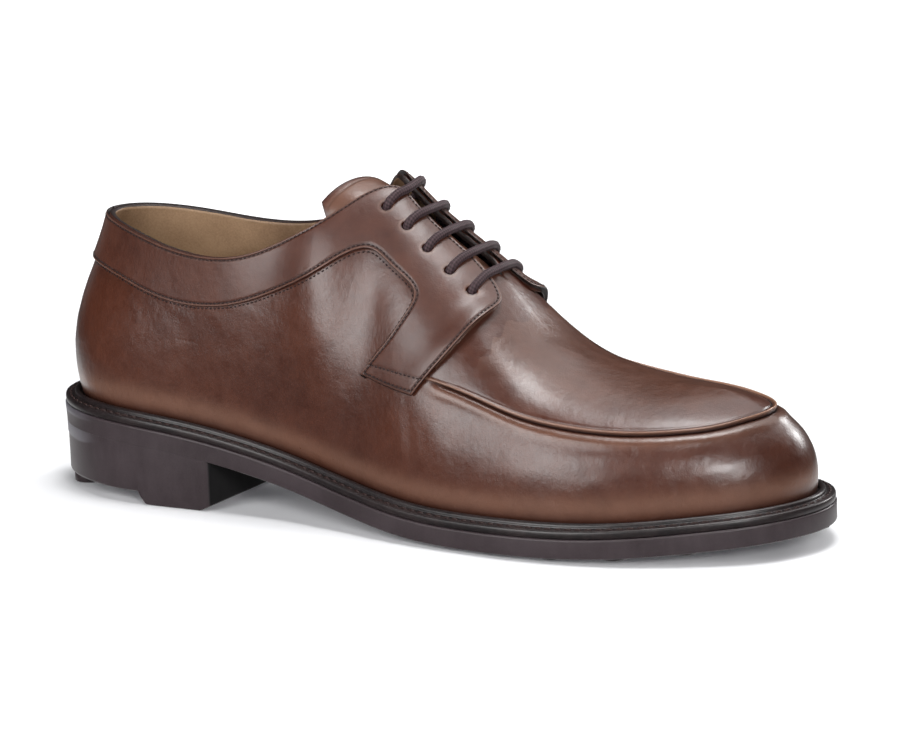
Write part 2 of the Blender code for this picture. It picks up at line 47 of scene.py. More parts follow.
# Last of the shoe, one row for each section from the heel back to the toe:
# footX, outerY, innerY, topX, outerTopY, innerTopY, outerTopZ, innerTopZ,
# lean, lowReach, heading, drop, highReach
lastShape = {
    "sections": (
        (5.6, 0.0, 0.0, 18.6, 0.0, 0.0, 99.4, 99.4, 14, 30, 180, 74, 24),
        (12.5, -17.5, 17.0, 24.6, -11.2, 11.2, 98.8, 99.0, 14, 30, 125, 76, 24),
        (32.0, -28.8, 27.0, 40.8, -20.8, 20.4, 96.2, 96.8, 12, 28, 98, 79, 22),
        (62.0, -31.0, 28.0, 64.0, -26.8, 26.0, 91.8, 93.4, 10, 26, 90, 81, 20),
        (90.0, -30.4, 26.4, 90.0, -28.2, 26.8, 92.4, 94.6, 10, 28, 90, 79, 20),
        (112.0, -31.2, 25.6, 109.0, -24.8, 24.0, 99.6, 101.4, 10, 32, 90, 66, 20),
        (130.0, -34.2, 27.2, 123.0, -19.5, 19.0, 107.6, 109.8, 9, 36, 90, 48, 20),
        (145.0, -37.4, 30.2, 136.5, -5.6, 5.2, 115.4, 118.6, 8, 38, 90, 26, 20),
        (158.0, -40.2, 33.8, 147.0, -1.0, 1.0, 110.4, 111.0, 8, 38, 90, 8, 23),
        (172.0, -42.2, 38.2, 160.0, 0.0, 0.0, 100.4, 100.4, 9, 34, 90, 1, 26),
        (188.0, -43.6, 42.4, 178.0, 0.0, 0.0, 87.0, 87.0, 10, 27, 90, 3, 27.6),
        (206.0, -44.2, 45.4, 198.0, 0.0, 0.0, 66.8, 66.8, 12, 24.5, 90, 2, 33.2),
        (226.0, -42.6, 44.8, 218.0, 0.6, 0.6, 56.9, 56.9, 13, 22.4, 90, 1.5, 37),
        (246.0, -37.6, 41.4, 236.0, 1.6, 1.6, 53.5, 53.5, 13, 20.5, 86, 2, 36),
        (266.0, -28.4, 34.8, 249.0, 2.6, 2.6, 52.9, 52.9, 12, 19.1, 70, 4.6, 32.2),
        (283.0, -17.0, 25.0, 257.0, 3.1, 3.1, 52.5, 52.5, 11, 17.8, 48, 8.2, 27),
        (293.6, 4.0, 4.0, 262.0, 3.3, 3.3, 52.1, 52.1, 10, 18, 0, 10, 25),
    ),
    "weltTop": (  # place along the shoe and height of the welt's top
        (0.0, 33.4), (40.0, 32.1), (80.0, 27.7), (120.0, 19.6), (160.0, 12.7), (178.0, 11.5),
        (200.0, 11.4), (222.0, 11.7), (250.0, 13.2), (275.0, 15.4), (300.0, 17.6),
    ),
    "footGap": 0.4,
    "soleReach": (5.6, 6.4, 7.2),  # how far the sole stands out at the heel, at the toe and at the very back
    "soleReachAt": (60.0, 200.0),
    "soleBackSpan": 17.0,
    "wrap": 6,  # knots repeated past both ends of the loop
    # steps for slopes: along the edge, and along and up the skin
    "edgeProbe": 0.1, "skinProbe": (0.2, 0.005),
    "normalSpan": (0.01, 0.985),  # rises between which normals are taken
}


# Natural cubic curve: values joined so that slope and bend run on through every knot.
def curveThrough(knots, values, at):
    knots, values, at = (np.asarray(item, float) for item in (knots, values, at))
    span, count = np.diff(knots), len(knots)
    tail = (slice(None),) + (None,) * (values.ndim - 1)
    slope = np.diff(values, axis=0) / span[tail]
    system, change = np.eye(count), np.zeros_like(values)
    inner = np.arange(1, count - 1)
    system[inner, inner - 1], system[inner, inner + 1] = span[:-1], span[1:]
    system[inner, inner] = 2 * (span[:-1] + span[1:])
    change[1:-1] = 6 * np.diff(slope, axis=0)
    bend = np.linalg.solve(system, change)
    place = np.clip(np.searchsorted(knots, at, side="right") - 1, 0, count - 2)
    spread = (...,) + (None,) * (values.ndim - 1)
    width, late = span[place][spread], ((at - knots[place]) / span[place])[spread]
    early = 1 - late
    bow = (early ** 3 - early) * bend[place] + (late ** 3 - late) * bend[place + 1]
    return early * values[place] + late * values[place + 1] + bow * width ** 2 / 6


# Smooth step from 0 at low to 1 at high, by the cubic 3t^2 - 2t^3.
def ease(value, low, high):
    share = np.clip((np.asarray(value, float) - low) / (high - low), 0.0, 1.0)
    return share * share * (3 - 2 * share)


# Bell of height 1 at the middle, by the exponential of minus the square of the distance in widths.
def bell(value, middle, width):
    return np.exp(-((np.asarray(value, float) - middle) / width) ** 2)


# Bell of a given height, from its height, middle and width.
def mound(value, shape):
    height, middle, width = shape
    return height * bell(value, middle, width)


# Vectors divided by their lengths.
def unit(vectors):
    return vectors / np.linalg.norm(vectors, axis=-1, keepdims=True)


# Each column of a table read at places between its rows, straight from row to row.
def between(at, rows, table):
    return np.stack([np.interp(at, rows, column) for column in table.T], axis=-1)


# Distance along a line of points, from its first one.
def travelled(line):
    return np.concatenate([[0.0], np.cumsum(np.linalg.norm(np.diff(line, axis=0), axis=-1))])


# Plan points with a height as their third value.
def withHeight(plan, height):
    return np.concatenate([plan, height[:, None]], axis=1)


# Angles of evenly spaced points round a circle.
def circleTurns(sides):
    return np.linspace(0.0, 2 * np.pi, sides, endpoint=False)


# Both sides of the sections joined into one loop: outer side to the toe, inner side back to the heel.
def sectionLoop():
    table = np.array(lastShape["sections"], float).T
    footX, outerY, innerY, topX, outerTopY, innerTopY, outerTopZ, innerTopZ = table[:8]
    lean, lowReach, heading, drop, highReach = table[8:]
    stations = np.concatenate([[0.0], np.cumsum(np.hypot(np.diff(footX), np.diff(outerY)))])
    heading = np.radians(heading)
    sides = []
    bothSides = ((outerY, outerTopY, outerTopZ, -1.0), (innerY, innerTopY, innerTopZ, 1.0))
    for footY, topY, topZ, sign in bothSides:
        plan = [footX, footY, topX, topY, topZ, np.cos(heading), sign * np.sin(heading)]
        sides.append(np.stack(plan + [lean, lowReach, drop, highReach], axis=1))
    toe, wrap = stations[-1], lastShape["wrap"]
    knots = np.concatenate([stations, 2 * toe - stations[-2:0:-1]])
    rows = np.concatenate([sides[0], sides[1][-2:0:-1]])
    knots = np.concatenate([knots[-wrap:] - 2 * toe, knots, knots[:wrap + 1] + 2 * toe])
    return toe, knots, np.concatenate([rows[-wrap:], rows, rows[:wrap + 1]])


toeStation, loopKnots, loopRows = sectionLoop()
aroundStation = 2 * toeStation


# Stations at even steps all the way round the sole edge.
def evenStations(count):
    return np.arange(count) * aroundStation / count


# Station counted round the sole edge: as it is on the outer side, the whole way less it on the inner.
def sideStation(station, side):
    return np.asarray(station, float) if side == "outer" else aroundStation - np.asarray(station, float)


# Height of the welt's top at a place along the shoe.
def weltTop(x):
    table = np.array(lastShape["weltTop"])
    return curveThrough(table[:, 0], table[:, 1], np.clip(x, 0.0, table[-1, 0]))


# Section at a station: foot x and y, top x, y and z, heading x and y, lean, low reach, drop and high reach.
def section(station):
    return curveThrough(loopKnots, loopRows, np.mod(station, aroundStation))


# Unit vector in plan that points away from the shoe, square to the sole edge.
def outward(station):
    step = lastShape["edgeProbe"]
    ahead = unit(section(station + step)[..., 0:2] - section(station - step)[..., 0:2])
    return np.stack([ahead[..., 1], -ahead[..., 0]], axis=-1)


# Plan point at a distance outside the sole edge of the upper.
def edgeLine(station, reach):
    station = np.asarray(station, float)
    return section(station)[..., 0:2] + outward(station) * np.broadcast_to(reach, station.shape)[..., None]


# Reach of the sole beyond the upper: a straight change from heel to toe, with a bell added at the very back.
def soleReach(station):
    heel, toe, back = lastShape["soleReach"]
    share = np.interp(section(station)[..., 0], lastShape["soleReachAt"], (0.0, 1.0))
    around = np.mod(station, aroundStation)
    atBack = bell(np.minimum(around, aroundStation - around), 0.0, lastShape["soleBackSpan"])
    return heel + (toe - heel) * share + (back - heel) * atBack


# Skin of the upper: a cubic curve up each section, with one handle leaning out of the sole
# and one off the top.
def skin(station, rise):
    station, rise = np.broadcast_arrays(np.asarray(station, float), np.asarray(rise, float))
    row, out = section(station), outward(station)
    plan, top, heading, lean, lowReach, drop, highReach = np.split(row, (2, 5, 7, 8, 9, 10), axis=-1)
    foot = np.stack([plan[..., 0], plan[..., 1], weltTop(plan[..., 0]) + lastShape["footGap"]], axis=-1)
    lean, drop = np.radians(lean), np.radians(drop)
    low = foot + np.concatenate([out * np.sin(lean), np.cos(lean)], axis=-1) * lowReach
    high = top + np.concatenate([unit(heading) * np.cos(drop), -np.sin(drop)], axis=-1) * highReach
    up = rise[..., None]
    down = 1 - up
    return down ** 3 * foot + 3 * down ** 2 * up * low + 3 * down * up ** 2 * high + up ** 3 * top


# Unit normal of the skin, from the cross product of its steps along and up, and the length
# of a whole rise there.
def skinNormal(station, rise):
    station, rise = np.broadcast_arrays(np.asarray(station, float), np.asarray(rise, float))
    along, up = lastShape["skinProbe"]
    inside = np.clip(rise, *lastShape["normalSpan"])
    ahead = skin(station + along, inside) - skin(station - along, inside)
    upward = skin(station, inside + up) - skin(station, inside - up)
    return unit(np.cross(ahead, upward)), np.linalg.norm(upward, axis=-1) / (2 * up)


# Point at a distance above the skin, along its normal.
def lifted(station, rise, lift):
    normal = skinNormal(station, rise)[0]
    return skin(station, rise) + normal * np.broadcast_to(lift, normal.shape[:-1])[..., None]


# Quads between neighbours of a grid of points, row by row; either way may close on itself.
def gridQuads(rows, columns, closedRows=False, closedColumns=False):
    row = np.arange(rows if closedRows else rows - 1)[:, None]
    cell = np.arange(columns if closedColumns else columns - 1)[None, :]
    nextRow, beside = (row + 1) % rows, (cell + 1) % columns
    here, ahead = row * columns, nextRow * columns
    corners = (here + cell, ahead + cell, ahead + beside, here + beside)
    return np.stack(np.broadcast_arrays(*corners), axis=-1).reshape(-1, 4)


# Quads of a tube of rings, once for each of a number of copies.
def repeatedQuads(count, rings, sides):
    starts = np.arange(count) * rings * sides
    return (gridQuads(rings, sides, closedColumns=True)[None] + starts[:, None, None]).reshape(-1, 4)


# A piece from points in millimetres and quads: doubles merged, smooth shaded, values kept as attributes.
def makePiece(name, points, quads, materials, nodes=(), values=None, closed=False):
    mesh = bpy.data.meshes.new(name)
    flat = (np.reshape(points, (-1, 3)) - shoePlace["origin"]) * shoePlace["millimetre"]
    mesh.from_pydata(flat.tolist(), [], quads.tolist())
    for key, amount in (values or {}).items():
        layer = mesh.attributes.new(key, "FLOAT", "POINT")
        layer.data.foreach_set("value", np.ravel(amount).astype(np.float32))
    shape = bmesh.new()
    shape.from_mesh(mesh)
    bmesh.ops.remove_doubles(shape, verts=shape.verts, dist=shoePlace["mergeWithin"])
    bmesh.ops.dissolve_degenerate(shape, edges=shape.edges, dist=shoePlace["thinnest"])
    if closed:
        bmesh.ops.recalc_face_normals(shape, faces=shape.faces)
    shape.to_mesh(mesh)
    shape.free()
    mesh.polygons.foreach_set("use_smooth", np.ones(len(mesh.polygons), bool))
    piece = bpy.data.objects.new(name, mesh)
    bpy.context.scene.collection.objects.link(piece)
    for material in materials:
        mesh.materials.append(material)
    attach(piece, "root")
    if nodes:
        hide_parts(*nodes)
    return piece


# Gives a sheet its thickness on the inner side; the edge and the inner face take the next materials.
def thicken(piece, thickness, edgeMaterial=0, innerMaterial=0):
    wall = piece.modifiers.new("thickness", "SOLIDIFY")
    wall.thickness = thickness * shoePlace["millimetre"]
    wall.offset = -1.0
    wall.material_offset_rim = edgeMaterial
    wall.material_offset = innerMaterial
    return piece


# Wraps a shader socket, so that sums on it add Math nodes.
class Wire:
    def __init__(self, tree, socket=None):
        self.tree, self.socket = tree, socket

    # Any node: its settings first, then the values or links of its sockets, and the output that is wanted.
    def node(self, kind, settings, sockets, output=0):
        made = self.tree.nodes.new(kind)
        for key, value in settings.items():
            setattr(made, key, value)
        for key, value in sockets.items():
            if isinstance(value, Wire):
                self.tree.links.new(value.socket, made.inputs[key])
            else:
                made.inputs[key].default_value = value
        return Wire(self.tree, made.outputs[output])

    # One Math node on two values or links.
    def maths(self, operation, first, second):
        return self.node("ShaderNodeMath", {"operation": operation}, {0: first, 1: second})

    def __add__(self, other):
        return self.maths("ADD", self, other)

    def __radd__(self, other):
        return self.maths("ADD", other, self)

    def __sub__(self, other):
        return self.maths("SUBTRACT", self, other)

    def __rsub__(self, other):
        return self.maths("SUBTRACT", other, self)

    def __mul__(self, other):
        return self.maths("MULTIPLY", self, other)

    def __rmul__(self, other):
        return self.maths("MULTIPLY", other, self)


# A new material with its shader, a bare wire to start from and its Object coordinates.
def startMaterial(name, constants):
    material = bpy.data.materials.new(name)
    material.use_nodes = True
    shader = material.node_tree.nodes["Principled BSDF"]
    for key, value in constants.items():
        shader.inputs[key].default_value = value
    wire = Wire(material.node_tree)
    return material, shader, wire, wire.node("ShaderNodeTexCoord", {}, {}, "Object")


# Fractal noise about one half, at a scale, with its detail and roughness.
def noise(wire, place, scale, detail, rough):
    sockets = {"Vector": place, "Scale": scale, "Detail": detail, "Roughness": rough}
    return wire.node("ShaderNodeTexNoise", {}, sockets)


# Noise counted from its middle, so that it adds as much as it takes away.
def swing(value):
    return value - 0.5


# Distance to the edges of a net of cells.
def cells(wire, place, scale):
    settings = {"feature": "DISTANCE_TO_EDGE"}
    return wire.node("ShaderNodeTexVoronoi", settings, {"Vector": place, "Scale": scale}, "Distance")


# A value that the piece's own mesh holds, such as its burnish with painted shade.
def painted(wire, name):
    return wire.node("ShaderNodeAttribute", {"attribute_name": name}, {}, "Fac")


# Share of the way between two ends, kept from 0 to 1.
def ramp(wire, value, low=0.0, high=1.0):
    sockets = {"Value": value, "From Min": low, "From Max": high}
    return wire.node("ShaderNodeMapRange", {"clamp": True}, sockets)


# Sum of values, each times its share.
def blend(values, shares):
    total, *rest = [value * share for value, share in zip(values, shares)]
    for part in rest:
        total = total + part
    return total


# The Mix node's sockets 0, 6 and 7 are the factor and the two colours, and its output 2 is the colour.
def mixColour(wire, share, first, second):
    return wire.node("ShaderNodeMix", {"data_type": "RGBA"}, {0: share, 6: first, 7: second}, 2)


# Dye of a finish: its dark and light colours mixed by a value between the ends of its tone.
def dyed(wire, look, value):
    return mixColour(wire, ramp(wire, value, *look["toneEnds"]), look["dark"], look["light"])


# Coordinates times a scale along each axis.
def stretch(wire, place, scale):
    return wire.node("ShaderNodeMapping", {}, {"Vector": place, "Scale": scale})


# One axis of a vector.
def axisOf(wire, place, axis):
    return wire.node("ShaderNodeSeparateXYZ", {}, {0: place}, axis)


# Normal turned by the slope of a height, on top of an earlier turn if there is one.
def bump(wire, height, strength, depth, before=None):
    sockets = {"Height": height, "Strength": strength, "Distance": depth}
    if before:
        sockets["Normal"] = before
    return wire.node("ShaderNodeBump", {}, sockets)


# Links wires to the shader's inputs by name, where an underscore stands for a space.
def connect(material, shader, **links):
    for key, wire in links.items():
        material.node_tree.links.new(wire.socket, shader.inputs[key.replace("_", " ")])
    return material


# In every look a noise is (scale, detail, roughness) and a bump is (strength, depth in metres).
leatherLook = {
    "dark": (0.012, 0.0042, 0.0032, 1.0), "mid": (0.036, 0.0092, 0.0047, 1.0),
    "light": (0.068, 0.0198, 0.0098, 1.0), "warm": (0.27, 0.145, 0.095, 1.0),
    "cloud": (26.0, 4.0, 0.55), "mottle": (150.0, 3.0, 0.6), "speck": (900.0, 2.0, 0.6),
    "toneMix": (0.55, 0.3, 0.15), "toneEnds": (0.36, 0.66),  # cloud, mottle and speck in the dye
    "rubAndHighlightPatch": 0.35, "burnishAndShadePatch": 0.3,  # how far the mottle breaks these up
    "ripple": (110.0, 2.0, 0.5), "wrinkle": (420.0, 4.0, 0.62), "wrinkleStretch": (1.0, 0.75, 0.7),
    "pebbleScale": 1150.0, "crease": (620.0, 3.0, 0.65), "grainMix": (0.55, 0.8),  # pebble and crease
    "rippleBump": (0.28, 0.0011), "wrinkleBump": (0.3, 0.0005), "grainBump": (0.24, 0.00024),
    # Burnish here stands for the mesh's burnish with painted shade, in the roughness and in the coat.
    "roughMix": (0.16, 0.2, 0.1, 0.05),  # mottle, wrinkle, speck and burnish in the roughness
    "coat": 0.35, "coatLost": 0.2,  # coat, and what burnishing takes off it
    "gloss": {"upper": 0.35, "apron": 0.37, "quarters": 0.47, "tongue": 0.42},
    "constants": {"IOR": 1.5, "Specular IOR Level": 0.4, "Coat Roughness": 0.22, "Coat IOR": 1.45},
}


# Polished calf: clouded dye, darker where burnished and where shade is painted, lighter where rubbed and
# where highlights and reflections are painted, over a fine pebble of pores and creases.
def calfLeather(name, look, gloss):
    material, shader, wire, place = startMaterial(name, look["constants"])
    cloud, mottle, speck, crease, ripple = (
        noise(wire, place, *look[key]) for key in ("cloud", "mottle", "speck", "crease", "ripple")
    )
    wrinkle = noise(wire, stretch(wire, place, look["wrinkleStretch"]), *look["wrinkle"])
    burnishAndShade, rubAndHighlight = painted(wire, "burnishAndShade"), painted(wire, "rubAndHighlight")
    tone = ramp(wire, blend((cloud, mottle, speck), look["toneMix"]), *look["toneEnds"])
    colour = mixColour(wire, tone, look["mid"], look["light"])
    # Rub with painted highlights mixes in the warm colour, and burnish with painted shade mixes in the dark
    # one.
    for wornAndLit, patch, dye in ((rubAndHighlight, "rubAndHighlightPatch", "warm"), (burnishAndShade, "burnishAndShadePatch", "dark")):
        share = ramp(wire, wornAndLit + swing(mottle) * look[patch] * wornAndLit)
        colour = mixColour(wire, share, colour, look[dye])
    grain = blend((cells(wire, place, look["pebbleScale"]), crease), look["grainMix"])
    normal = bump(wire, ripple, *look["rippleBump"])
    normal = bump(wire, wrinkle, *look["wrinkleBump"], normal)
    normal = bump(wire, grain, *look["grainBump"], normal)
    rough = gloss + blend((swing(mottle), swing(wrinkle), swing(speck), burnishAndShade), look["roughMix"])
    coat = look["coat"] - burnishAndShade * look["coatLost"]
    return connect(material, shader, Base_Color=colour, Roughness=rough, Normal=normal, Coat_Weight=coat)


edgeLook = {
    "dark": (0.008, 0.005, 0.005, 1.0), "light": (0.032, 0.018, 0.014, 1.0), "toneEnds": (0.42, 0.75),
    "fibre": (520.0, 4.0, 0.7), "fibreStretch": (1.0, 1.0, 6.0), "fibreBump": (0.4, 0.0002),
    "rough": 0.42, "fibreRough": 0.25,
    "constants": {"IOR": 1.48, "Specular IOR Level": 0.3},
}


# Inked leather edge: dark dye over cut fibres that run along the edge.
def inkedEdge(name, look):
    material, shader, wire, place = startMaterial(name, look["constants"])
    fibre = noise(wire, stretch(wire, place, look["fibreStretch"]), *look["fibre"])
    rough = look["rough"] + fibre * look["fibreRough"]
    normal = bump(wire, fibre, *look["fibreBump"])
    return connect(material, shader, Base_Color=dyed(wire, look, fibre), Roughness=rough, Normal=normal)


liningLook = {
    "dark": (0.155, 0.088, 0.048, 1.0), "light": (0.34, 0.222, 0.130, 1.0),
    "stain": (34.0, 4.0, 0.6), "pore": (1400.0, 2.0, 0.6), "grainScale": 820.0,
    "toneMix": (0.7, 0.3), "toneEnds": (0.3, 0.68),  # stain and pore in the dye
    "grainMix": (0.6, 0.5), "grainBump": (0.22, 0.00025),  # grain and pore in the height
    "rough": 0.56, "stainRough": 0.2,
    "constants": {"IOR": 1.45},
}


# Undyed lining leather: pale tan with fine hair pores and faint stains.
def liningLeather(name, look):
    material, shader, wire, place = startMaterial(name, look["constants"])
    stain, pore = (noise(wire, place, *look[key]) for key in ("stain", "pore"))
    grain = blend((cells(wire, place, look["grainScale"]), pore), look["grainMix"])
    colour = dyed(wire, look, blend((stain, pore), look["toneMix"]))
    rough = look["rough"] + swing(stain) * look["stainRough"]
    normal = bump(wire, grain, *look["grainBump"])
    return connect(material, shader, Base_Color=colour, Roughness=rough, Normal=normal)


rubberLook = {
    "dark": (0.024, 0.0165, 0.0185, 1.0), "light": (0.046, 0.0335, 0.0375, 1.0),
    "bloomAndSheen": (42.0, 4.0, 0.6), "sand": (1600.0, 2.0, 0.6), "sandBump": (0.16, 0.00016),
    "scuff": (330.0, 4.0, 0.7), "scuffStretch": (1.0, 1.0, 0.35),
    "toneMix": (0.5, 0.3, 0.2), "toneEnds": (0.34, 0.7),  # bloom, scuff and sand in the colour
    # pale painted sheen, where the piece's own values mark it
    "paleSheen": (0.16, 0.157, 0.178, 1.0), "sheenLevel": 0.75, "sheenPatch": 1.2,
    "gloss": 0.44, "roughMix": (0.14, 0.1),  # bloom and scuff in the roughness
    # painted shade on the breast: its colour, where it begins and is full, in metres along the shoe, and its
    # added roughness
    "breastShade": (0.004, 0.0035, 0.004, 1.0), "breast": (-0.0730, -0.0724), "breastRough": 0.55,
    "constants": {"IOR": 1.5, "Specular IOR Level": 0.35},
}


# Moulded brown rubber: matt skin with a soft bloom and fine mould texture, a pale painted sheen where the
# piece marks it, and painted shade on the breast of a heel.
def mouldedRubber(name, look, breast=None):
    material, shader, wire, place = startMaterial(name, look["constants"])
    bloomAndSheen, sand = (noise(wire, place, *look[key]) for key in ("bloomAndSheen", "sand"))
    scuff = noise(wire, stretch(wire, place, look["scuffStretch"]), *look["scuff"])
    colour = dyed(wire, look, blend((bloomAndSheen, scuff, sand), look["toneMix"]))
    # Pale painted sheen on the wall rows that the piece marks, broken up by the noise.
    paleSheen = painted(wire, "bloomAndSheen") * (look["sheenLevel"] + swing(bloomAndSheen) * look["sheenPatch"])
    colour = mixColour(wire, ramp(wire, paleSheen), colour, look["paleSheen"])
    rough = look["gloss"] + blend((swing(bloomAndSheen), swing(scuff)), look["roughMix"])
    # Painted shade on the heel's breast, which faces the shadow under the arch.
    if breast:
        breastShade = ramp(wire, axisOf(wire, place, "X"), *breast)
        colour = mixColour(wire, breastShade, colour, look["breastShade"])
        rough = rough + breastShade * look["breastRough"]
    normal = bump(wire, sand, *look["sandBump"])
    return connect(material, shader, Base_Color=colour, Roughness=rough, Normal=normal)


weltLook = {
    "dark": (0.0070, 0.0050, 0.0056, 1.0), "light": (0.022, 0.0135, 0.0135, 1.0),
    "cloud": (75.0, 4.0, 0.6), "fibre": (780.0, 3.0, 0.65), "fibreBump": (0.13, 0.00016),
    "toneMix": (0.6, 0.4), "toneEnds": (0.4, 0.7),  # cloud and fibre in the dye
    "rough": 0.37, "roughMix": (0.14, 0.08),
    "constants": {"IOR": 1.5},
}


# Waxed welt leather: nearly black, browner where the wax is thin, on fine fibres.
def waxedWelt(name, look):
    material, shader, wire, place = startMaterial(name, look["constants"])
    cloud, fibre = (noise(wire, place, *look[key]) for key in ("cloud", "fibre"))
    colour = dyed(wire, look, blend((cloud, fibre), look["toneMix"]))
    rough = look["rough"] + blend((swing(cloud), swing(fibre)), look["roughMix"])
    normal = bump(wire, fibre, *look["fibreBump"])
    return connect(material, shader, Base_Color=colour, Roughness=rough, Normal=normal)


cordLook = {
    "dark": (0.012, 0.0064, 0.0072, 1.0), "light": (0.066, 0.0385, 0.044, 1.0),
    "fuzz": (2400.0, 3.0, 0.65), "fuzzBump": (0.35, 0.00012),
    "toneMix": (0.8, 0.5), "toneEnds": (0.35, 1.0),  # weave and fuzz in the colour
    "rough": 0.58, "fuzzRough": 0.3,
    "constants": {"IOR": 1.48, "Specular IOR Level": 0.22, "Sheen Weight": 0.04, "Sheen Roughness": 0.4},
}
seamLook = dict(
    cordLook, dark=(0.006, 0.0035, 0.0035, 1.0), light=(0.022, 0.011, 0.010, 1.0), fuzz=(3000.0, 3.0, 0.65),
    constants={"IOR": 1.45, "Specular IOR Level": 0.25},
)
weltThreadLook = dict(seamLook, fuzz=(2200.0, 3.0, 0.65))


# Waxed cotton: strands across the cord, with painted shade between them, from its own weave attribute.
def waxedCotton(name, look):
    material, shader, wire, place = startMaterial(name, look["constants"])
    fuzz = noise(wire, place, *look["fuzz"])
    colour = dyed(wire, look, blend((painted(wire, "weave"), fuzz), look["toneMix"]))
    rough = look["rough"] + swing(fuzz) * look["fuzzRough"]
    normal = bump(wire, fuzz, *look["fuzzBump"])
    return connect(material, shader, Base_Color=colour, Roughness=rough, Normal=normal)


upperCalf = calfLeather("brown calf", leatherLook, leatherLook["gloss"]["upper"])
apronCalf = calfLeather("brown calf of the apron", leatherLook, leatherLook["gloss"]["apron"])
facingCalf = calfLeather("brown calf of the quarters", leatherLook, leatherLook["gloss"]["quarters"])
tongueCalf = calfLeather("brown calf of the tongue", leatherLook, leatherLook["gloss"]["tongue"])
darkEdge = inkedEdge("inked edge", edgeLook)
tanLining = liningLeather("tan lining", liningLook)
soleRubber = mouldedRubber("sole rubber", rubberLook)
heelRubber = mouldedRubber("heel rubber", rubberLook, rubberLook["breast"])
weltLeather = waxedWelt("welt leather", weltLook)
laceCotton = waxedCotton("lace cotton", cordLook)
seamThread = waxedCotton("seam thread", seamLook)
weltThread = waxedCotton("welt thread", weltThreadLook)
print("materials made:", len(bpy.data.materials))


# Burnish with painted shade, and rub with painted highlights and reflections, of a piece, kept from 0 to 1,
# for its leather.
def wearAndPaintedLight(burnishAndShade, rubAndHighlight):
    return {"burnishAndShade": np.clip(burnishAndShade, 0, 1), "rubAndHighlight": np.clip(rubAndHighlight, 0, 1)}


# A mound, a groove, a shade or a rub is (height, middle, width), and a span is where an ease begins and ends.
upperPiece = {
    "columns": 360, "rows": 92, "thickness": 2.0, "tuck": -0.012,
    # rows gather at half height, and further forward at the apron's edge
    "focus": 0.5, "focusPower": 1.5, "focusFrom": 176.0, "focusSpan": (170.0, 190.0),
    "throat": (  # station and rise of the throat's edge
        (159.5, 1.0), (162.5, 0.992), (165.5, 0.972), (169.5, 0.951), (176.0, 0.938), (186.0, 0.931),
        (193.4, 0.925), (199.4, 1.0),
    ),
    "closing": 0.9,  # how far behind the end of the throat both sides join
    "apronEdge": (  # station, rise on the outer and on the inner side
        (186.0, 0.4, 0.42), (207.0, 0.456, 0.51), (226.0, 0.508, 0.606), (250.0, 0.538, 0.66),
        (273.0, 0.568, 0.674), (293.0, 0.616, 0.662), (308.0, 0.672, 0.686), (323.0, 0.704, 0.704),
    ),
    "apronFrom": 180.0, "frontSpan": (180.0, 190.0),
    "groove": (-0.9, 0.2, 0.9), "shoulder": (0.55, -3.2, 2.0),  # by the way up from the apron's edge
    "sink": 0.6, "sinkRise": (0.6, 3.0), "sinkSpan": (200.0, 250.0),  # lies lower under the apron
    "poleSink": 1.6, "poleRise": (0.8, 0.95), "poleSpan": (-40.0, -10.0),  # and lower still over the toe
    # soft creases, a scratch and a pit: station, rise, half length along, half height up, depth
    "creases": (
        (175.4, 0.20, 1.7, 0.075, 0.30), (171.2, 0.175, 2.2, 0.06, -0.16), (181.0, 0.22, 2.4, 0.05, 0.16),
        (76.8, 0.462, 5.0, 0.006, 0.06), (196.5, 0.095, 0.8, 0.009, 0.12), (150.0, 0.24, 6.0, 0.07, 0.12),
    ),
    "wave": (0.05, 0.31, 3.0, 9.0, 23.0, 0.07),  # faint unevenness: height, and turns of two crossing waves
    # Painted shade just above the welt and in the groove under the apron's edge; a painted reflection of the
    # pale floor low on the wall; on the shoulder under the groove a lighter rub with a painted highlight.
    "weltShade": (0.75, 0.0, 2.2), "weltReflection": (0.26, 6.0, 4.0),  # by the way up from the welt
    "grooveShade": (0.8, 0.2, 0.8), "shoulderRubAndHighlight": (0.18, -3.0, 2.2),
    "toeShade": 0.35, "toeShadeSpan": (262.0, 320.0), "toeShadeRise": (0.1, 0.35),
}


# Rise of the apron's edge at a station counted round the sole edge.
def apronRise(station):
    table = np.array(upperPiece["apronEdge"])
    half = np.clip(np.minimum(station, aroundStation - station), upperPiece["apronFrom"], toeStation)
    both = curveThrough(table[:, 0], table[:, 1:], half)
    return np.where(station <= toeStation, both[..., 0], both[..., 1])


# Rises of the upper's rows at each station, from the tuck to its top, closest together at the focus
# by a power of the way from it.
def upperRises(station, half):
    throat = np.array(upperPiece["throat"])
    top = np.interp(half, throat[:, 0], throat[:, 1], left=1.0, right=1.0)
    middle, power = upperPiece["focus"], upperPiece["focusPower"]
    focus = np.where(half > upperPiece["focusFrom"], apronRise(station), middle)
    focus = (middle + (focus - middle) * ease(half, *upperPiece["focusSpan"]))[:, None]
    share = np.linspace(0.0, 1.0, upperPiece["rows"] + 1)[None, :]
    below = focus - (focus - upperPiece["tuck"]) * np.abs(1 - share / middle) ** power
    above = focus + (top[:, None] - focus) * np.abs(share / middle - 1) ** power
    return np.where(share < middle, below, above)
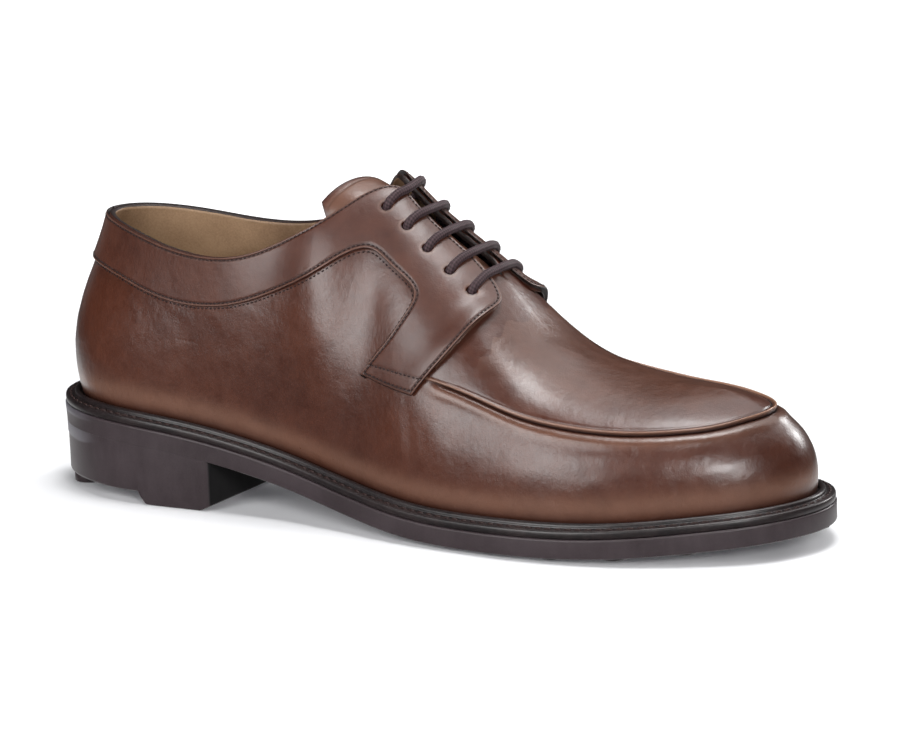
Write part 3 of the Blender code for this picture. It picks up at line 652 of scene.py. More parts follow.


# Upper: the skin from the welt to the top line, with a groove under the apron's edge, creases set one by one
# and eyelets through its wall.
def makeUpper():
    count = upperPiece["columns"]
    station = evenStations(count)
    half = np.minimum(station, aroundStation - station)
    rise = upperRises(station, half)
    grid = np.broadcast_to(station[:, None], rise.shape)
    halfGrid = np.broadcast_to(half[:, None], rise.shape)
    normal, climb = skinNormal(grid, rise)
    away = (rise - apronRise(grid)) * climb  # millimetres above the apron's edge
    front = ease(halfGrid, *upperPiece["frontSpan"])
    lift = mound(away, upperPiece["groove"]) * front + mound(away, upperPiece["shoulder"]) * front
    lift -= upperPiece["sink"] * ease(away, *upperPiece["sinkRise"]) * ease(halfGrid, *upperPiece["sinkSpan"])
    for place, level, along, up, depth in upperPiece["creases"]:
        lift -= depth * bell(halfGrid, place, along) * bell(rise, level, up) * (grid < toeStation)
    height, turns, sway, swayTurns, upTurns, drift = upperPiece["wave"]
    wave = np.sin(grid * turns + sway * np.sin(rise * swayTurns)) * np.sin(rise * upTurns + grid * drift)
    points = skin(grid, rise) + normal * (lift + height * wave)[..., None]
    overToe = ease(halfGrid, *(toeStation + way for way in upperPiece["poleSpan"]))
    points[..., 2] -= upperPiece["poleSink"] * ease(rise, *upperPiece["poleRise"]) * overToe
    closing = half > upperPiece["throat"][-1][0] - upperPiece["closing"]
    mirrored = points[-np.arange(count) % count]
    points[:, -1] = np.where(closing[:, None], (points[:, -1] + mirrored[:, -1]) / 2, points[:, -1])
    foot = rise * climb  # millimetres above the welt
    # Painted shade by the welt and in the groove, with burnish at the toe; a painted floor reflection above
    # the welt, and a painted highlight with rub on the shoulder.
    burnishAndShade = mound(foot, upperPiece["weltShade"]) + mound(away, upperPiece["grooveShade"]) * front
    atToe = ease(halfGrid, *upperPiece["toeShadeSpan"]) * ease(rise, *upperPiece["toeShadeRise"])
    burnishAndShade += upperPiece["toeShade"] * atToe * (away < 0)
    rubAndHighlight = mound(foot, upperPiece["weltReflection"]) + mound(away, upperPiece["shoulderRubAndHighlight"]) * front
    quads = gridQuads(*rise.shape, closedRows=True)
    materials, values = [upperCalf, darkEdge, tanLining], wearAndPaintedLight(burnishAndShade, rubAndHighlight)
    piece = makePiece("upperLeather", points, quads, materials, ["upper"], values)
    piece = thicken(piece, upperPiece["thickness"], 1, 2)
    return punchEyelets(punchEyelets(piece, "outer"), "inner")


apronPiece = {
    "columns": 210, "rows": 54, "rowPower": 1.6, "thickness": 0.9, "lift": 0.35,
    # by side, outer and inner: height of the lip and its painted highlight, and depth of the dent inside it
    # and its painted shade
    "lip": (0.5, 1.3), "lipHighlight": (0.5, 1.3), "creviceDepth": (0.1, 0.5), "creviceShade": (0.1, 1.0),
    "lipAt": 0.75, "lipWidth": 0.62, "lipHighlightWidth": 0.5, "crevice": (2.0, 0.6),  # middles and widths
    "bothSpan": (1.0, 30.0),  # way behind the toe over which the sides come to differ
    "rear": (  # share of the way from the edge to the ridge, and station
        (0.0, 181.0), (0.22, 190.0), (0.42, 195.0), (0.64, 198.2), (0.8, 199.4), (1.0, 200.4),
    ),
    # height under the quarters, and the ways over which the apron and its lip come up
    "tuck": (-0.12, 36.0), "lipStart": (1.0, 5.0),
    # upward direction where the sections meet over the toe, and where it takes over
    "toeNormal": (0.05, 0.0, 1.0), "toeNormalShare": (0.8, 0.95), "toeNormalSpan": (-14.0, -4.0),
    "edgeDrop": 0.7, "edgeSpan": (0.0, 0.55),  # rounding down at the very edge
    # Painted shade at the very edge, where it drops into the groove, and a light rub over the top further in.
    "edgeShade": (0.85, 0.0, 0.35), "topRub": 0.09, "topRubSpan": (6.0, 20.0),
    "stitchPitch": 2.3, "stitchSize": (1.5, 0.26, 0.2, 0.12),  # length, radius, bow and sink
    "stitchEnds": (5.0, -8.0), "stitchSteps": 400, "stitchDepth": 0.15,
}


# Apron: from its edge to the ridge on both sides, standing up into a rolled lip just inside the edge.
def makeApron():
    share = np.linspace(0.0, 1.0, apronPiece["rows"] + 1) ** apronPiece["rowPower"]
    rear = np.interp(share, *np.array(apronPiece["rear"]).T)[None, :]
    station = rear + (toeStation - rear) * np.linspace(0.0, 1.0, apronPiece["columns"] + 1)[:, None]
    tuckHeight, tuckReach = apronPiece["tuck"]
    apart = ease(toeStation - station, *apronPiece["bothSpan"])
    overToe = ease(station, *(toeStation + way for way in apronPiece["toeNormalSpan"]))
    steady = (ease(share, *apronPiece["toeNormalShare"])[None, :] * overToe)[..., None]
    shapes = [apronPiece[key] for key in ("lip", "creviceDepth", "creviceShade", "lipHighlight")]
    sides, burnishAndShade, rubAndHighlight = [], [], []
    for index, side in enumerate(("outer", "inner")):
        lip, depth, dark, light = (sum(both) / 2 * (1 - apart) + both[index] * apart for both in shapes)
        place = sideStation(station, side)
        low = apronRise(place)
        rise = low + (1 - low) * share[None, :]
        normal, climb = skinNormal(place, rise)
        normal = normal + (np.array(apronPiece["toeNormal"]) - normal) * steady
        away = (rise - low) * climb
        ahead = station - rear
        dent = bell(away, *apronPiece["crevice"])
        lift = tuckHeight + (apronPiece["lift"] - tuckHeight) * ease(ahead, 0.0, tuckReach)
        detail = lip * bell(away, apronPiece["lipAt"], apronPiece["lipWidth"]) - depth * dent
        detail = detail - apronPiece["edgeDrop"] * (1 - ease(away, *apronPiece["edgeSpan"]))
        lift += detail * ease(ahead, *apronPiece["lipStart"])
        sides.append(skin(place, rise) + normal * lift[..., None])
        # Painted shade at the edge and in the crevice, and a painted highlight along the lip.
        burnishAndShade.append(mound(away, apronPiece["edgeShade"]) + dark * dent)
        onLip = light * bell(away, apronPiece["lipAt"], apronPiece["lipHighlightWidth"])
        rubAndHighlight.append(onLip + apronPiece["topRub"] * ease(away, *apronPiece["topRubSpan"]))
    outer, inner = sides
    middle = (outer[:, -1] + inner[:, -1]) / 2
    tip = (outer[-1] + inner[-1]) / 2
    for grid in sides:
        grid[:, -1] = middle
        grid[-1] = tip
    quads = gridQuads(*station.shape)
    quads = np.concatenate([quads, quads[:, ::-1] + station.size])
    materials, values = [apronCalf, darkEdge], wearAndPaintedLight(np.stack(burnishAndShade), np.stack(rubAndHighlight))
    piece = makePiece("apronLeather", np.stack(sides), quads, materials, ["apron"], values)
    return thicken(piece, apronPiece["thickness"], 1, 0)


seamStitch = {
    "pitch": 1.75, "size": (1.25, 0.3, 0.24, 0.14),  # length, radius, bow and sink
    "inside": 1.1, "below": 0.75, "edge": 1.1,  # ways from the seam and from the edge
    "rowSteps": 420, "firstRow": 0.15, "belowUntil": 16.4,
    "tabRows": (1.6, 6.2), "tabReach": 3.0, "tabSteps": 200, "tabPoints": 60,
    "heightAbove": 0.03, "heightBelow": -0.06,  # over the quarter, and over the upper's skin beside the seam
}


quarterPiece = {
    # The thick wall with its dark inked edge also stands in for painted shade: it fills the shadowed gap
    # under the tab's standing front edge.
    "columns": 340, "rows": 60, "thickness": 2.4, "lift": 1.45, "roundEdge": 0.4,
    "standOff": 2.4, "standOffAt": (14.7, 1.4), "standOffReach": 6.0,
    "footBow": 0.012, "footBowSpan": 1.3,  # drop of the tab's foot between its corners, in rise
    # seam station and rise, then edge station and rise, from the back seam to the foot of the tab
    "outline": (
        (0.3, 0.735, 0.3, 1.0), (20.0, 0.741, 20.0, 1.0), (42.0, 0.716, 42.0, 1.0), (70.0, 0.683, 70.0, 1.0),
        (100.0, 0.719, 99.0, 1.0), (122.0, 0.733, 121.5, 1.0), (140.0, 0.731, 139.7, 1.0),
        (150.0, 0.714, 150.0, 1.0), (156.0, 0.694, 159.0, 1.0), (163.0, 0.664, 166.5, 0.966),
        (169.8, 0.647, 176.0, 0.938), (175.4, 0.636, 186.0, 0.931), (177.3, 0.612, 195.0, 0.923),
        (176.2, 0.573, 201.8, 0.888), (173.0, 0.518, 202.2, 0.788), (167.5, 0.447, 195.7, 0.596),
        (161.0, 0.387, 187.5, 0.45), (154.2, 0.332, 178.0, 0.327),
    ),
    "widthSteps": 13, "leastSine": 0.35,
    "eyelets": ((158.6, 0.864), (169.1, 0.821), (178.7, 0.799), (187.5, 0.785), (195.2, 0.783)),
    "eyeletRadius": 1.85, "eyeletSides": 28,
    "eyeletCut": (-5.0, 6.0),  # ends of the cut, as heights over the skin
    # Painted shade at the foot of the rim, in the sewing groove, round each eyelet's hole and in the tab's
    # groove; painted highlights on the rounded rim and in a ring round each eyelet.
    "groove": (0.22, 1.1, 0.4), "grooveShade": (0.7, 1.1, 0.34),  # sewing groove, by the way in from the rim
    "tabGroove": (0.14, seamStitch["tabRows"][1], 0.5), "tabShade": (0.45, seamStitch["tabRows"][1], 0.4),
    "edgeShade": (0.9, 0.0, 0.16), "edgeHighlight": (0.2, 0.42, 0.15),
    "eyeletDent": (0.14, 0.0, 2.6), "eyeletShade": (0.5, 1.9, 0.4), "eyeletHighlight": (0.18, 2.5, 0.4),
}


# Station and rise of a quarter at a row of its outline and a share of the way across, straight
# between its edges.
def quarterPlace(row, across):
    table = np.array(quarterPiece["outline"])
    curve = curveThrough(np.arange(len(table)), table, row)
    station = curve[..., 0] + (curve[..., 2] - curve[..., 0]) * across
    bow = quarterPiece["footBow"] * bell(row, len(table) - 1, quarterPiece["footBowSpan"])
    rise = curve[..., 1] + (np.minimum(curve[..., 3], 1.0) - curve[..., 1]) * across
    return station, rise - 4 * bow * across * (1 - across)


# Size of the quarter at rows of its outline: its width measured square to the seam and square to
# the edge, by the sine of the angle between the line across and the border, and the way left to the
# foot of the tab.
def quarterSize(row):
    steps = quarterPiece["widthSteps"]
    station, rise = quarterPlace(row[:, None], np.linspace(0.0, 1.0, steps)[None, :])
    grid = skin(station, rise)
    width = np.linalg.norm(np.diff(grid, axis=1), axis=-1).sum(axis=1)
    ahead = travelled(grid[:, steps // 2])
    inwards = grid[:, 1] - grid[:, 0], grid[:, -2] - grid[:, -1]
    widths = []
    for border, inward in zip((grid[:, 0], grid[:, -1]), inwards):
        along = np.gradient(border, axis=0)
        turn = np.linalg.norm(np.cross(along, inward), axis=1)
        lengths = np.linalg.norm(along, axis=1) * np.linalg.norm(inward, axis=1)
        sine = turn / np.maximum(lengths, 1e-9)
        widths.append(width * np.clip(sine, quarterPiece["leastSine"], 1.0))
    return np.stack(widths + [ahead[-1] - ahead], axis=-1)


# Middles of a side's eyelets, at a height over the skin.
def eyeletCentres(side, lift):
    table = np.array(quarterPiece["eyelets"])
    return lifted(sideStation(table[:, 0], side), table[:, 1], lift)


# Cuts round holes through a piece along the normals of the skin, and keeps the result as its mesh.
def punchEyelets(piece, side):
    turn = circleTurns(quarterPiece["eyeletSides"])[None, :, None]
    low, high = (eyeletCentres(side, end) for end in quarterPiece["eyeletCut"])
    axis = unit(high - low)
    aside = unit(np.cross(axis, (1.0, 0.0, 0.0)))
    circle = np.cos(turn) * aside[:, None] + np.sin(turn) * np.cross(axis, aside)[:, None]
    radii = quarterPiece["eyeletRadius"] * np.array([0.0, 1.0, 1.0, 0.0])
    ends = np.stack([low, low, high, high], axis=1)
    points = ends[:, :, None] + circle[:, None] * radii[None, :, None, None]
    quads = repeatedQuads(len(low), len(radii), turn.size)
    cutter = makePiece("eyeletCutter" + side, points, quads, [], closed=True)
    cut = piece.modifiers.new("eyelets", "BOOLEAN")
    cut.operation, cut.solver, cut.object = "DIFFERENCE", "EXACT", cutter
    bpy.context.view_layer.update()
    mesh = bpy.data.meshes.new_from_object(piece.evaluated_get(bpy.context.evaluated_depsgraph_get()))
    piece.modifiers.clear()
    piece.data = mesh
    bpy.data.objects.remove(cutter)
    return piece


# Height of a quarter over the skin and distance to its rim: level inside, rounded down at the rim by
# a quarter circle, with sewing grooves, and swept up where the front edge stands off.
def quarterLift(row, across, size):
    seamWidth, edgeWidth, left = np.moveaxis(size, -1, 0)
    fromEdge = (1 - across) * edgeWidth
    rim = np.minimum(np.minimum(across * seamWidth, fromEdge), left)
    radius = quarterPiece["roundEdge"]
    lift = quarterPiece["lift"] - radius * (1 - np.sqrt(1 - (1 - np.clip(rim / radius, 0.0, 1.0)) ** 2))
    lift = lift - mound(rim, quarterPiece["groove"]) - mound(left, quarterPiece["tabGroove"])
    sweep = bell(row, *quarterPiece["standOffAt"]) * bell(fromEdge, 0.0, quarterPiece["standOffReach"])
    return lift + quarterPiece["standOff"] * sweep, rim


# Quarter: collar strip, facing and tab as one ribbon, with a rounded edge all round and dents at the eyelets.
def makeQuarter(side):
    row = np.linspace(0.0, len(quarterPiece["outline"]) - 1, quarterPiece["columns"] + 1)
    across = 0.5 - 0.5 * np.cos(np.linspace(0.0, np.pi, quarterPiece["rows"] + 1))[None, :]
    size = quarterSize(row)
    station, rise = quarterPlace(row[:, None], across)
    lift, rim = quarterLift(row[:, None], across, size[:, None])
    fromFoot = np.broadcast_to(size[:, 2:], rim.shape)
    place = sideStation(station, side)
    points = lifted(place, rise, lift)
    centres = eyeletCentres(side, quarterPiece["lift"])
    near = np.linalg.norm(points[:, :, None] - centres[None, None], axis=-1).min(axis=-1)
    points = points - skinNormal(place, rise)[0] * mound(near, quarterPiece["eyeletDent"])[..., None]
    # Painted shade and painted highlights at the rim, the grooves and the eyelets.
    burnishAndShade = mound(rim, quarterPiece["edgeShade"]) + mound(rim, quarterPiece["grooveShade"])
    burnishAndShade += mound(near, quarterPiece["eyeletShade"]) + mound(fromFoot, quarterPiece["tabShade"])
    rubAndHighlight = mound(rim, quarterPiece["edgeHighlight"]) + mound(near, quarterPiece["eyeletHighlight"])
    quads = gridQuads(*station.shape)
    if side == "inner":
        quads = quads[:, ::-1]
    name, node = "quarterLeather" + side.capitalize(), "quarter_" + side
    materials, values = [facingCalf, darkEdge], wearAndPaintedLight(burnishAndShade, rubAndHighlight)
    piece = makePiece(name, points, quads, materials, [node], values)
    return punchEyelets(thicken(piece, quarterPiece["thickness"], 1, 0), side)


tonguePiece = {
    "columns": 90, "rows": 40, "columnPower": 1.4, "thickness": 1.8,
    # middle line from under the vamp to the free top: x, z, half width, arch radius
    "line": (
        (194.0, 67.0, 13.0, 16.0), (186.0, 75.4, 15.5, 15.5), (172.0, 87.8, 18.0, 15.0),
        (158.0, 97.4, 20.5, 15.0), (144.0, 107.2, 23.0, 16.5), (134.0, 113.1, 24.5, 18.0),
        (127.5, 116.0, 23.0, 18.0), (122.5, 117.4, 16.5, 18.0),
    ),
    "skew": 0.4, "skewPower": 4,  # the outer corner of the top lies further back
    "edgeShade": (0.8, 0.0, 0.5), "seamShade": (0.35, 2.2, 0.5), "seamDent": (0.15, 2.2, 0.5),
    "rub": 0.22, "rubSpan": (1.0, 2.0),
}


# Tongue: a strip arched over a circle across its middle line, narrowing to a rounded top.
def makeTongue():
    table = np.array(tonguePiece["line"])
    steps = 1 - np.linspace(0.0, 1.0, tonguePiece["columns"] + 1)
    row = (len(table) - 1) * (1 - steps ** tonguePiece["columnPower"])
    line = curveThrough(np.arange(len(table)), table, row)
    x, z, halfWidth, radius = np.split(line, 4, axis=1)
    slope = unit(np.gradient(line[:, 0:2], axis=0))
    under = np.stack([slope[:, 1], -slope[:, 0]], axis=1)
    under = under * np.sign(-under[:, 1:2])
    across = np.sin(np.linspace(-np.pi / 2, np.pi / 2, tonguePiece["rows"] + 1))[None, :]
    turn = across * halfWidth / radius
    sink = (1 - np.cos(turn)) * radius
    side = np.sin(turn) * radius
    skew = tonguePiece["skew"] * (row / row[-1])[:, None] ** tonguePiece["skewPower"] * side
    points = np.stack([x + under[:, 0:1] * sink + skew, side, z + under[:, 1:2] * sink], axis=-1)
    ahead = travelled(line[:, 0:2])
    rim = np.minimum((1 - np.abs(across)) * halfWidth, (ahead[-1] - ahead)[:, None])
    points[..., 2] -= mound(rim, tonguePiece["seamDent"])
    # Darker along the edge, and painted shade in the dent along the seam.
    burnishAndShade = mound(rim, tonguePiece["edgeShade"]) + mound(rim, tonguePiece["seamShade"])
    values = wearAndPaintedLight(burnishAndShade, tonguePiece["rub"] * ease(rim, *tonguePiece["rubSpan"]))
    quads = gridQuads(*rim.shape)[:, ::-1]
    materials = [tongueCalf, darkEdge, tanLining]
    piece = makePiece("tongueLeather", points, quads, materials, ["tongue"], values)
    return thicken(piece, tonguePiece["thickness"], 1, 2)


lacePiece = {
    "radius": 1.5, "sides": 32, "step": 0.2, "clear": -0.25, "blur": 1.5,
    "weaveHeight": 0.2, "weavePitch": 1.9, "strands": 4,
    "sideways": (1.0, 0.0, 0.3),  # direction that the tube's sides are counted from
    # on its way out of an eyelet: change of rise and height over the skin
    "climb": (-0.02, 0.0, 0.02), "height": (-3.4, 0.4, 2.3),
    "forward": (4.4, 3.8, 3.3, 3.2, 2.7),  # how far each bar bows to the toe where it crosses the throat
    "order": (0, 2, 4, 3, 1),  # bars as the lace runs, from its hidden end at the inner top eyelet
    "pass": 0.05, "runSteps": 9,  # drop in rise of a run that passes by an eyelet, and points of a run
}


# Round tube: a circle carried square to a path, its radius scaled by a weave of two crossing helices.
def laceTube(path):
    ahead = unit(np.gradient(path, axis=0))
    aside = unit(np.cross(ahead, lacePiece["sideways"]))
    above = np.cross(aside, ahead)
    turn = circleTurns(lacePiece["sides"])[None, :]
    way = travelled(path)[:, None] * 2 * np.pi / lacePiece["weavePitch"]
    strands = lacePiece["strands"] * turn
    weave = 0.5 + 0.5 * np.sin(way + strands) * np.sin(way - strands)
    size = lacePiece["radius"] + lacePiece["weaveHeight"] * (weave - 0.5)
    size[[0, -1]] = 0.0
    ring = np.cos(turn)[..., None] * aside[:, None] + np.sin(turn)[..., None] * above[:, None]
    return path[:, None] + ring * size[..., None], weave


# Even points along straight runs between knots, then each is the mean of its neighbours weighted by a bell.
def softPath(knots, step, blur):
    way = travelled(knots)
    at = np.linspace(0.0, way[-1], int(way[-1] / step))
    line = between(at, way, knots)
    weight = bell(at[:, None] - at[None, :], 0.0, blur)
    soft = weight @ line / weight.sum(axis=1, keepdims=True)
    keep = ease(np.minimum(at, way[-1] - at), 0.0, 2 * blur)[:, None]
    return line + (soft - line) * keep


# Run of lace under a facing between two eyelets, close under the upper's wall, bowing past an eyelet
# between them.
def laceRun(side, first, last):
    table = np.array(quarterPiece["eyelets"])
    share = np.linspace(0.0, 1.0, lacePiece["runSteps"])[1:-1]
    place, rise = between(first + (last - first) * share, np.arange(len(table)), table).T
    bow = lacePiece["pass"] * np.sin(np.pi * share) * (abs(last - first) > 1)
    return lifted(sideStation(place, side), rise + lacePiece["climb"][0] - bow, lacePiece["height"][0])


# Points of each bar: up through its eyelet, bending over, across both facings and down the other side.
def laceBars():
    throat = np.array(upperPiece["throat"])
    over = quarterPiece["lift"] + lacePiece["radius"] + lacePiece["clear"]
    bars = []
    for (place, rise), forward in zip(quarterPiece["eyelets"], lacePiece["forward"]):
        brim = np.interp(place + forward, throat[:, 0], throat[:, 1])
        climb = rise + np.append(lacePiece["climb"], ((brim - rise) / 2, brim - rise))
        height = np.append(lacePiece["height"], (over, over))
        station = place + forward * np.clip((climb - rise) / (brim - rise), 0.0, 1.0)
        outer = lifted(station, climb, height)
        inner = lifted(aroundStation - station, climb, height)[::-1]
        bars.append(np.concatenate([outer, inner]))
    return bars


# Lace: one cord over all bars, every other one the other way, with runs under the facings from bar to bar.
def makeLace():
    bars, order = laceBars(), lacePiece["order"]
    knots = []
    for k, bar in enumerate(order):
        knots.append(bars[bar] if k % 2 else bars[bar][::-1])
        if k + 1 < len(order):
            knots.append(laceRun("inner" if k % 2 else "outer", bar, order[k + 1]))
    path = softPath(np.concatenate(knots), lacePiece["step"], lacePiece["blur"])
    points, weave = laceTube(path)
    print("lace, millimetres:", round(float(travelled(path)[-1]), 1))
    nodes = ["lace_bar_%d" % (k + 1) for k in range(len(bars))]
    quads = gridQuads(*points.shape[:2], closedColumns=True)
    return makePiece("lace", points, quads, [laceCotton], nodes, {"weave": weave}, True)


# One stitch: rings along its length, sides, power that rounds its ends, and turns of its strands.
stitchForm = {"rings": (-1.0, -0.72, 0.0, 0.72, 1.0), "sides": 6, "power": 4, "strands": 9.0, "reach": 0.3}


# Row of stitches: a short bowed spindle set at even steps along a line, dipping into the leather at
# both ends.
def stitchShapes(line, normal, pitch, length, radius, bow, sink):
    way = travelled(line)
    count = max(int(way[-1] / pitch), 1)
    at = (np.arange(count) + 0.5) * way[-1] / count
    reach = stitchForm["reach"]
    ahead = unit(between(at + reach, way, line) - between(at - reach, way, line))
    aside = unit(np.cross(between(at, way, normal), ahead))
    up = np.cross(ahead, aside)
    share = np.array(stitchForm["rings"])[:, None]
    turn = circleTurns(stitchForm["sides"])[None, :]
    size = radius * np.sqrt(np.clip(1 - share ** stitchForm["power"], 0.0, 1.0))
    height = bow * (1 - share ** 2) - sink + size * np.sin(turn)
    local = (share * length / 2 + 0 * turn, size * np.cos(turn), height)
    spread = sum(part[None, ..., None] * axis[:, None, None] for part, axis in zip(local, (ahead, aside, up)))
    points = between(at, way, line)[:, None, None] + spread
    # Weave across the stitch, which the thread's colour turns into painted shade between its twists.
    weave = 0.5 + 0.5 * np.cos(share * stitchForm["strands"]) + 0 * turn
    quads = repeatedQuads(count, *weave.shape)
    return points.reshape(-1, 3), quads, np.broadcast_to(weave, (count,) + weave.shape).reshape(-1)


# Stitches in the crevice inside the apron's inner lip, from the toe to the tab.
def apronStitches():
    start, end = apronPiece["stitchEnds"]
    last = aroundStation - apronPiece["rear"][0][1] + end
    station = np.linspace(toeStation + start, last, apronPiece["stitchSteps"])
    rise = apronRise(station)
    rise = rise + apronPiece["crevice"][0] / skinNormal(station, rise)[1]
    line = lifted(station, rise, apronPiece["lift"] - apronPiece["stitchDepth"])
    normal = skinNormal(station, rise)[0]
    return stitchShapes(line, normal, apronPiece["stitchPitch"], *apronPiece["stitchSize"])


# Rows of stitches as one piece: each row's quads are moved on by the points before it.
def joinStitches(name, rows, material):
    points, quads, weave = zip(*rows)
    offsets = np.cumsum([0] + [len(part) for part in points])
    quads = np.concatenate([part + offset for part, offset in zip(quads, offsets)])
    values = {"weave": np.concatenate(weave)}
    return makePiece(name, np.concatenate(points), quads, [material], (), values, True)


# Stitches of one quarter: inside the seam, along the edge, on the upper under the seam, and twice
# across the tab.
def quarterStitches(side):
    last = len(quarterPiece["outline"]) - 1.0
    inside, count = seamStitch["inside"], seamStitch["tabPoints"]
    rows = []

    # One row of stitches, on the quarter, or on the upper's skin where the row lies outside the seam.
    def sew(row, across, border):
        station, rise = quarterPlace(row, across)
        station = sideStation(station, side)
        above = quarterLift(row, across, border)[0] + seamStitch["heightAbove"]
        line = lifted(station, rise, np.where(across < 0, seamStitch["heightBelow"], above))
        normal = skinNormal(station, rise)[0]
        rows.append(stitchShapes(line, normal, seamStitch["pitch"], *seamStitch["size"]))

    row = np.linspace(seamStitch["firstRow"], last, seamStitch["rowSteps"])
    border = quarterSize(row)
    keep, low = border[:, 2] > inside, row < seamStitch["belowUntil"]
    sew(row[keep], inside / border[keep, 0], border[keep])
    sew(row[keep], 1 - seamStitch["edge"] / border[keep, 1], border[keep])
    sew(row[low], -seamStitch["below"] / border[low, 0], border[low])
    fine = np.linspace(last - seamStitch["tabReach"], last, seamStitch["tabSteps"])
    border = quarterSize(fine)
    for up in seamStitch["tabRows"]:
        at = np.interp(-up, -border[:, 2], fine)
        here = between(at, fine, border)
        across = np.linspace(inside / here[0], 1 - inside / here[1], count)
        sew(np.full(count, at), across, np.tile(here, (count, 1)))
    return rows


weltPiece = {
    "columns": 420, "bead": (2.0, 0.5, 1.15),  # the bead's reach, rise and radius
    "beadSteps": 11, "beadTurn": (205.0, -18.0),
    # profile: reach, height over the welt's top, and 1 where the sole's reach is added
    "inner": ((-2.8, -0.1, 0), (0.4, -0.1, 0)),
    "edge": (
        (3.3, 0.0, 0), (3.7, 0.12, 0), (-1.1, -0.12, 1), (-0.55, -0.2, 1), (-0.15, -0.45, 1), (0.0, -0.9, 1),
        (0.04, -1.7, 1), (0.0, -2.5, 1), (-0.2, -2.85, 1), (-0.6, -3.0, 1), (-2.8, -3.0, 0),
    ),
    "stitchReach": 4.55, "stitchPitch": 3.6,
    "stitchSize": (3.0, 0.46, 0.42, 0.34),  # length, radius, bow and sink
    "stitchSteps": 900, "stitchHeight": 0.02,
}


# Welt: a bead, a sloping stitched top and a rounded outer edge, carried round the sole edge.
def makeWelt():
    station = evenStations(weltPiece["columns"])
    reach = soleReach(station)
    beadReach, beadRise, radius = weltPiece["bead"]
    turns = np.radians(np.linspace(*weltPiece["beadTurn"], weltPiece["beadSteps"]))
    bead = [(beadReach + radius * np.cos(turn), beadRise + radius * np.sin(turn), 0) for turn in turns]
    rings = []
    for out, height, grows in (*weltPiece["inner"], *bead, *weltPiece["edge"]):
        plan = edgeLine(station, out + grows * reach)
        rings.append(withHeight(plan, weltTop(plan[:, 0]) + height))
    points = np.stack(rings)
    quads = gridQuads(*points.shape[:2], closedRows=True, closedColumns=True)
    return makePiece("weltStrip", points, quads, [weltLeather], ["welt"], closed=True)


# Stitches all round the welt, on a line at a set reach outside the upper's edge.
def weltStitches():
    plan = edgeLine(np.linspace(0.0, aroundStation, weltPiece["stitchSteps"]), weltPiece["stitchReach"])
    line = withHeight(plan, weltTop(plan[:, 0]) + weltPiece["stitchHeight"])
    upright = np.broadcast_to((0.0, 0.0, 1.0), line.shape)
    return stitchShapes(line, upright, weltPiece["stitchPitch"], *weltPiece["stitchSize"])


# A wall row is (offset, its change at the back and at the heel, share of the way down, height, its
# change at the back), and its sheen value is how much pale painted sheen it shows at the back.
solePiece = {
    "columns": 420, "thickness": 6.6, "lip": 0.3, "weltBelow": 3.4, "intoWelt": 0.35, "flatSteps": 6,
    "backSpan": (16.0, 40.0), "taperSpan": (72.0, 120.0),
    "wall": (
        (-0.7, 0.0, 0.0, 0.0, 0.0, 0.0), (-0.2, 0.0, 0.0, 0.0, -0.15, 0.0),
        (0.0, 0.0, 0.0, 0.0, -0.5, 0.0), (0.0, -0.05, 0.0, 0.0, -0.9, -1.4),
        (0.0, -0.15, 0.0, 0.0, -1.0, -1.9), (0.0, 0.0, -0.35, 1.0, 0.6, 0.0),
        (-0.15, 0.0, -0.2, 1.0, 0.2, 0.0), (-0.6, 0.0, 0.25, 1.0, 0.0, 0.0),
    ),
    "bloomAndSheen": (0.6, 0.9, 0.9, 0.8, 0.0, 0.0, 0.0, 0.0), "sheenSpan": (6.0, 30.0),
}


# Unit vectors in plan that point out of a closed line of points.
def loopOutward(loop):
    ahead = unit(np.roll(loop, -1, axis=0) - np.roll(loop, 1, axis=0))
    return np.stack([ahead[:, 1], -ahead[:, 0]], axis=1)


# Slab: from the middle line of a mirrored loop out over the top, down its wall rows and back under
# to the middle.
def slab(name, loop, wall, top, bottom, material, nodes, bloomAndSheen=None):
    out = loopOutward(loop)
    mirror = -np.arange(len(loop)) % len(loop)
    spine = (loop + loop[mirror]) / 2
    shares = np.linspace(0.0, 1.0, solePiece["flatSteps"] + 1)[:-1, None, None]
    back = 1 - ease(loop[:, 0], *solePiece["backSpan"])
    heel = 1 - ease(loop[:, 0], *solePiece["taperSpan"])
    plans = [loop + out * (row[0] + row[1] * back + row[2] * heel)[:, None] for row in wall]
    upper = spine[None] + (plans[0] - spine)[None] * shares
    lower = (spine[None] + (plans[-1] - spine)[None] * shares)[::-1]
    rows = [withHeight(plan, top(plan[:, 0])) for plan in upper]
    for plan, (share, extra, atBack) in zip(plans, (row[3:] for row in wall)):
        x = plan[:, 0]
        rows.append(withHeight(plan, top(x) * (1 - share) + bottom(x) * share + extra + atBack * back))
    rows += [withHeight(plan, bottom(plan[:, 0])) for plan in lower]
    points = np.stack(rows)
    quads = gridQuads(*points.shape[:2], closedColumns=True)
    # Pale painted sheen on the marked wall rows, fading out towards the front.
    paleSheen = np.zeros(points.shape[:2])
    if bloomAndSheen:
        shown = 1 - ease(loop[:, 0], *solePiece["sheenSpan"])
        paleSheen[len(upper):len(upper) + len(wall)] = np.array(bloomAndSheen)[:, None] * shown[None, :]
    return makePiece(name, points, quads, [material], nodes, {"bloomAndSheen": paleSheen}, True)


# Top of the outsole: the welt's top less the welt's depth.
def soleTop(x):
    return weltTop(x) - solePiece["weltBelow"]


# Underside of the outsole: its top less its thickness.
def tread(x):
    return soleTop(x) - solePiece["thickness"]


# Outsole: a slab in the outline of the welt, its top a little way into the welt.
def makeOutsole():
    station = evenStations(solePiece["columns"])
    loop = edgeLine(station, soleReach(station) + solePiece["lip"])
    wall, bloomAndSheen = solePiece["wall"], solePiece["bloomAndSheen"]

    def top(x):
        return soleTop(x) + solePiece["intoWelt"]

    return slab("outsoleRubber", loop, wall, top, tread, soleRubber, ["outsole"], bloomAndSheen)


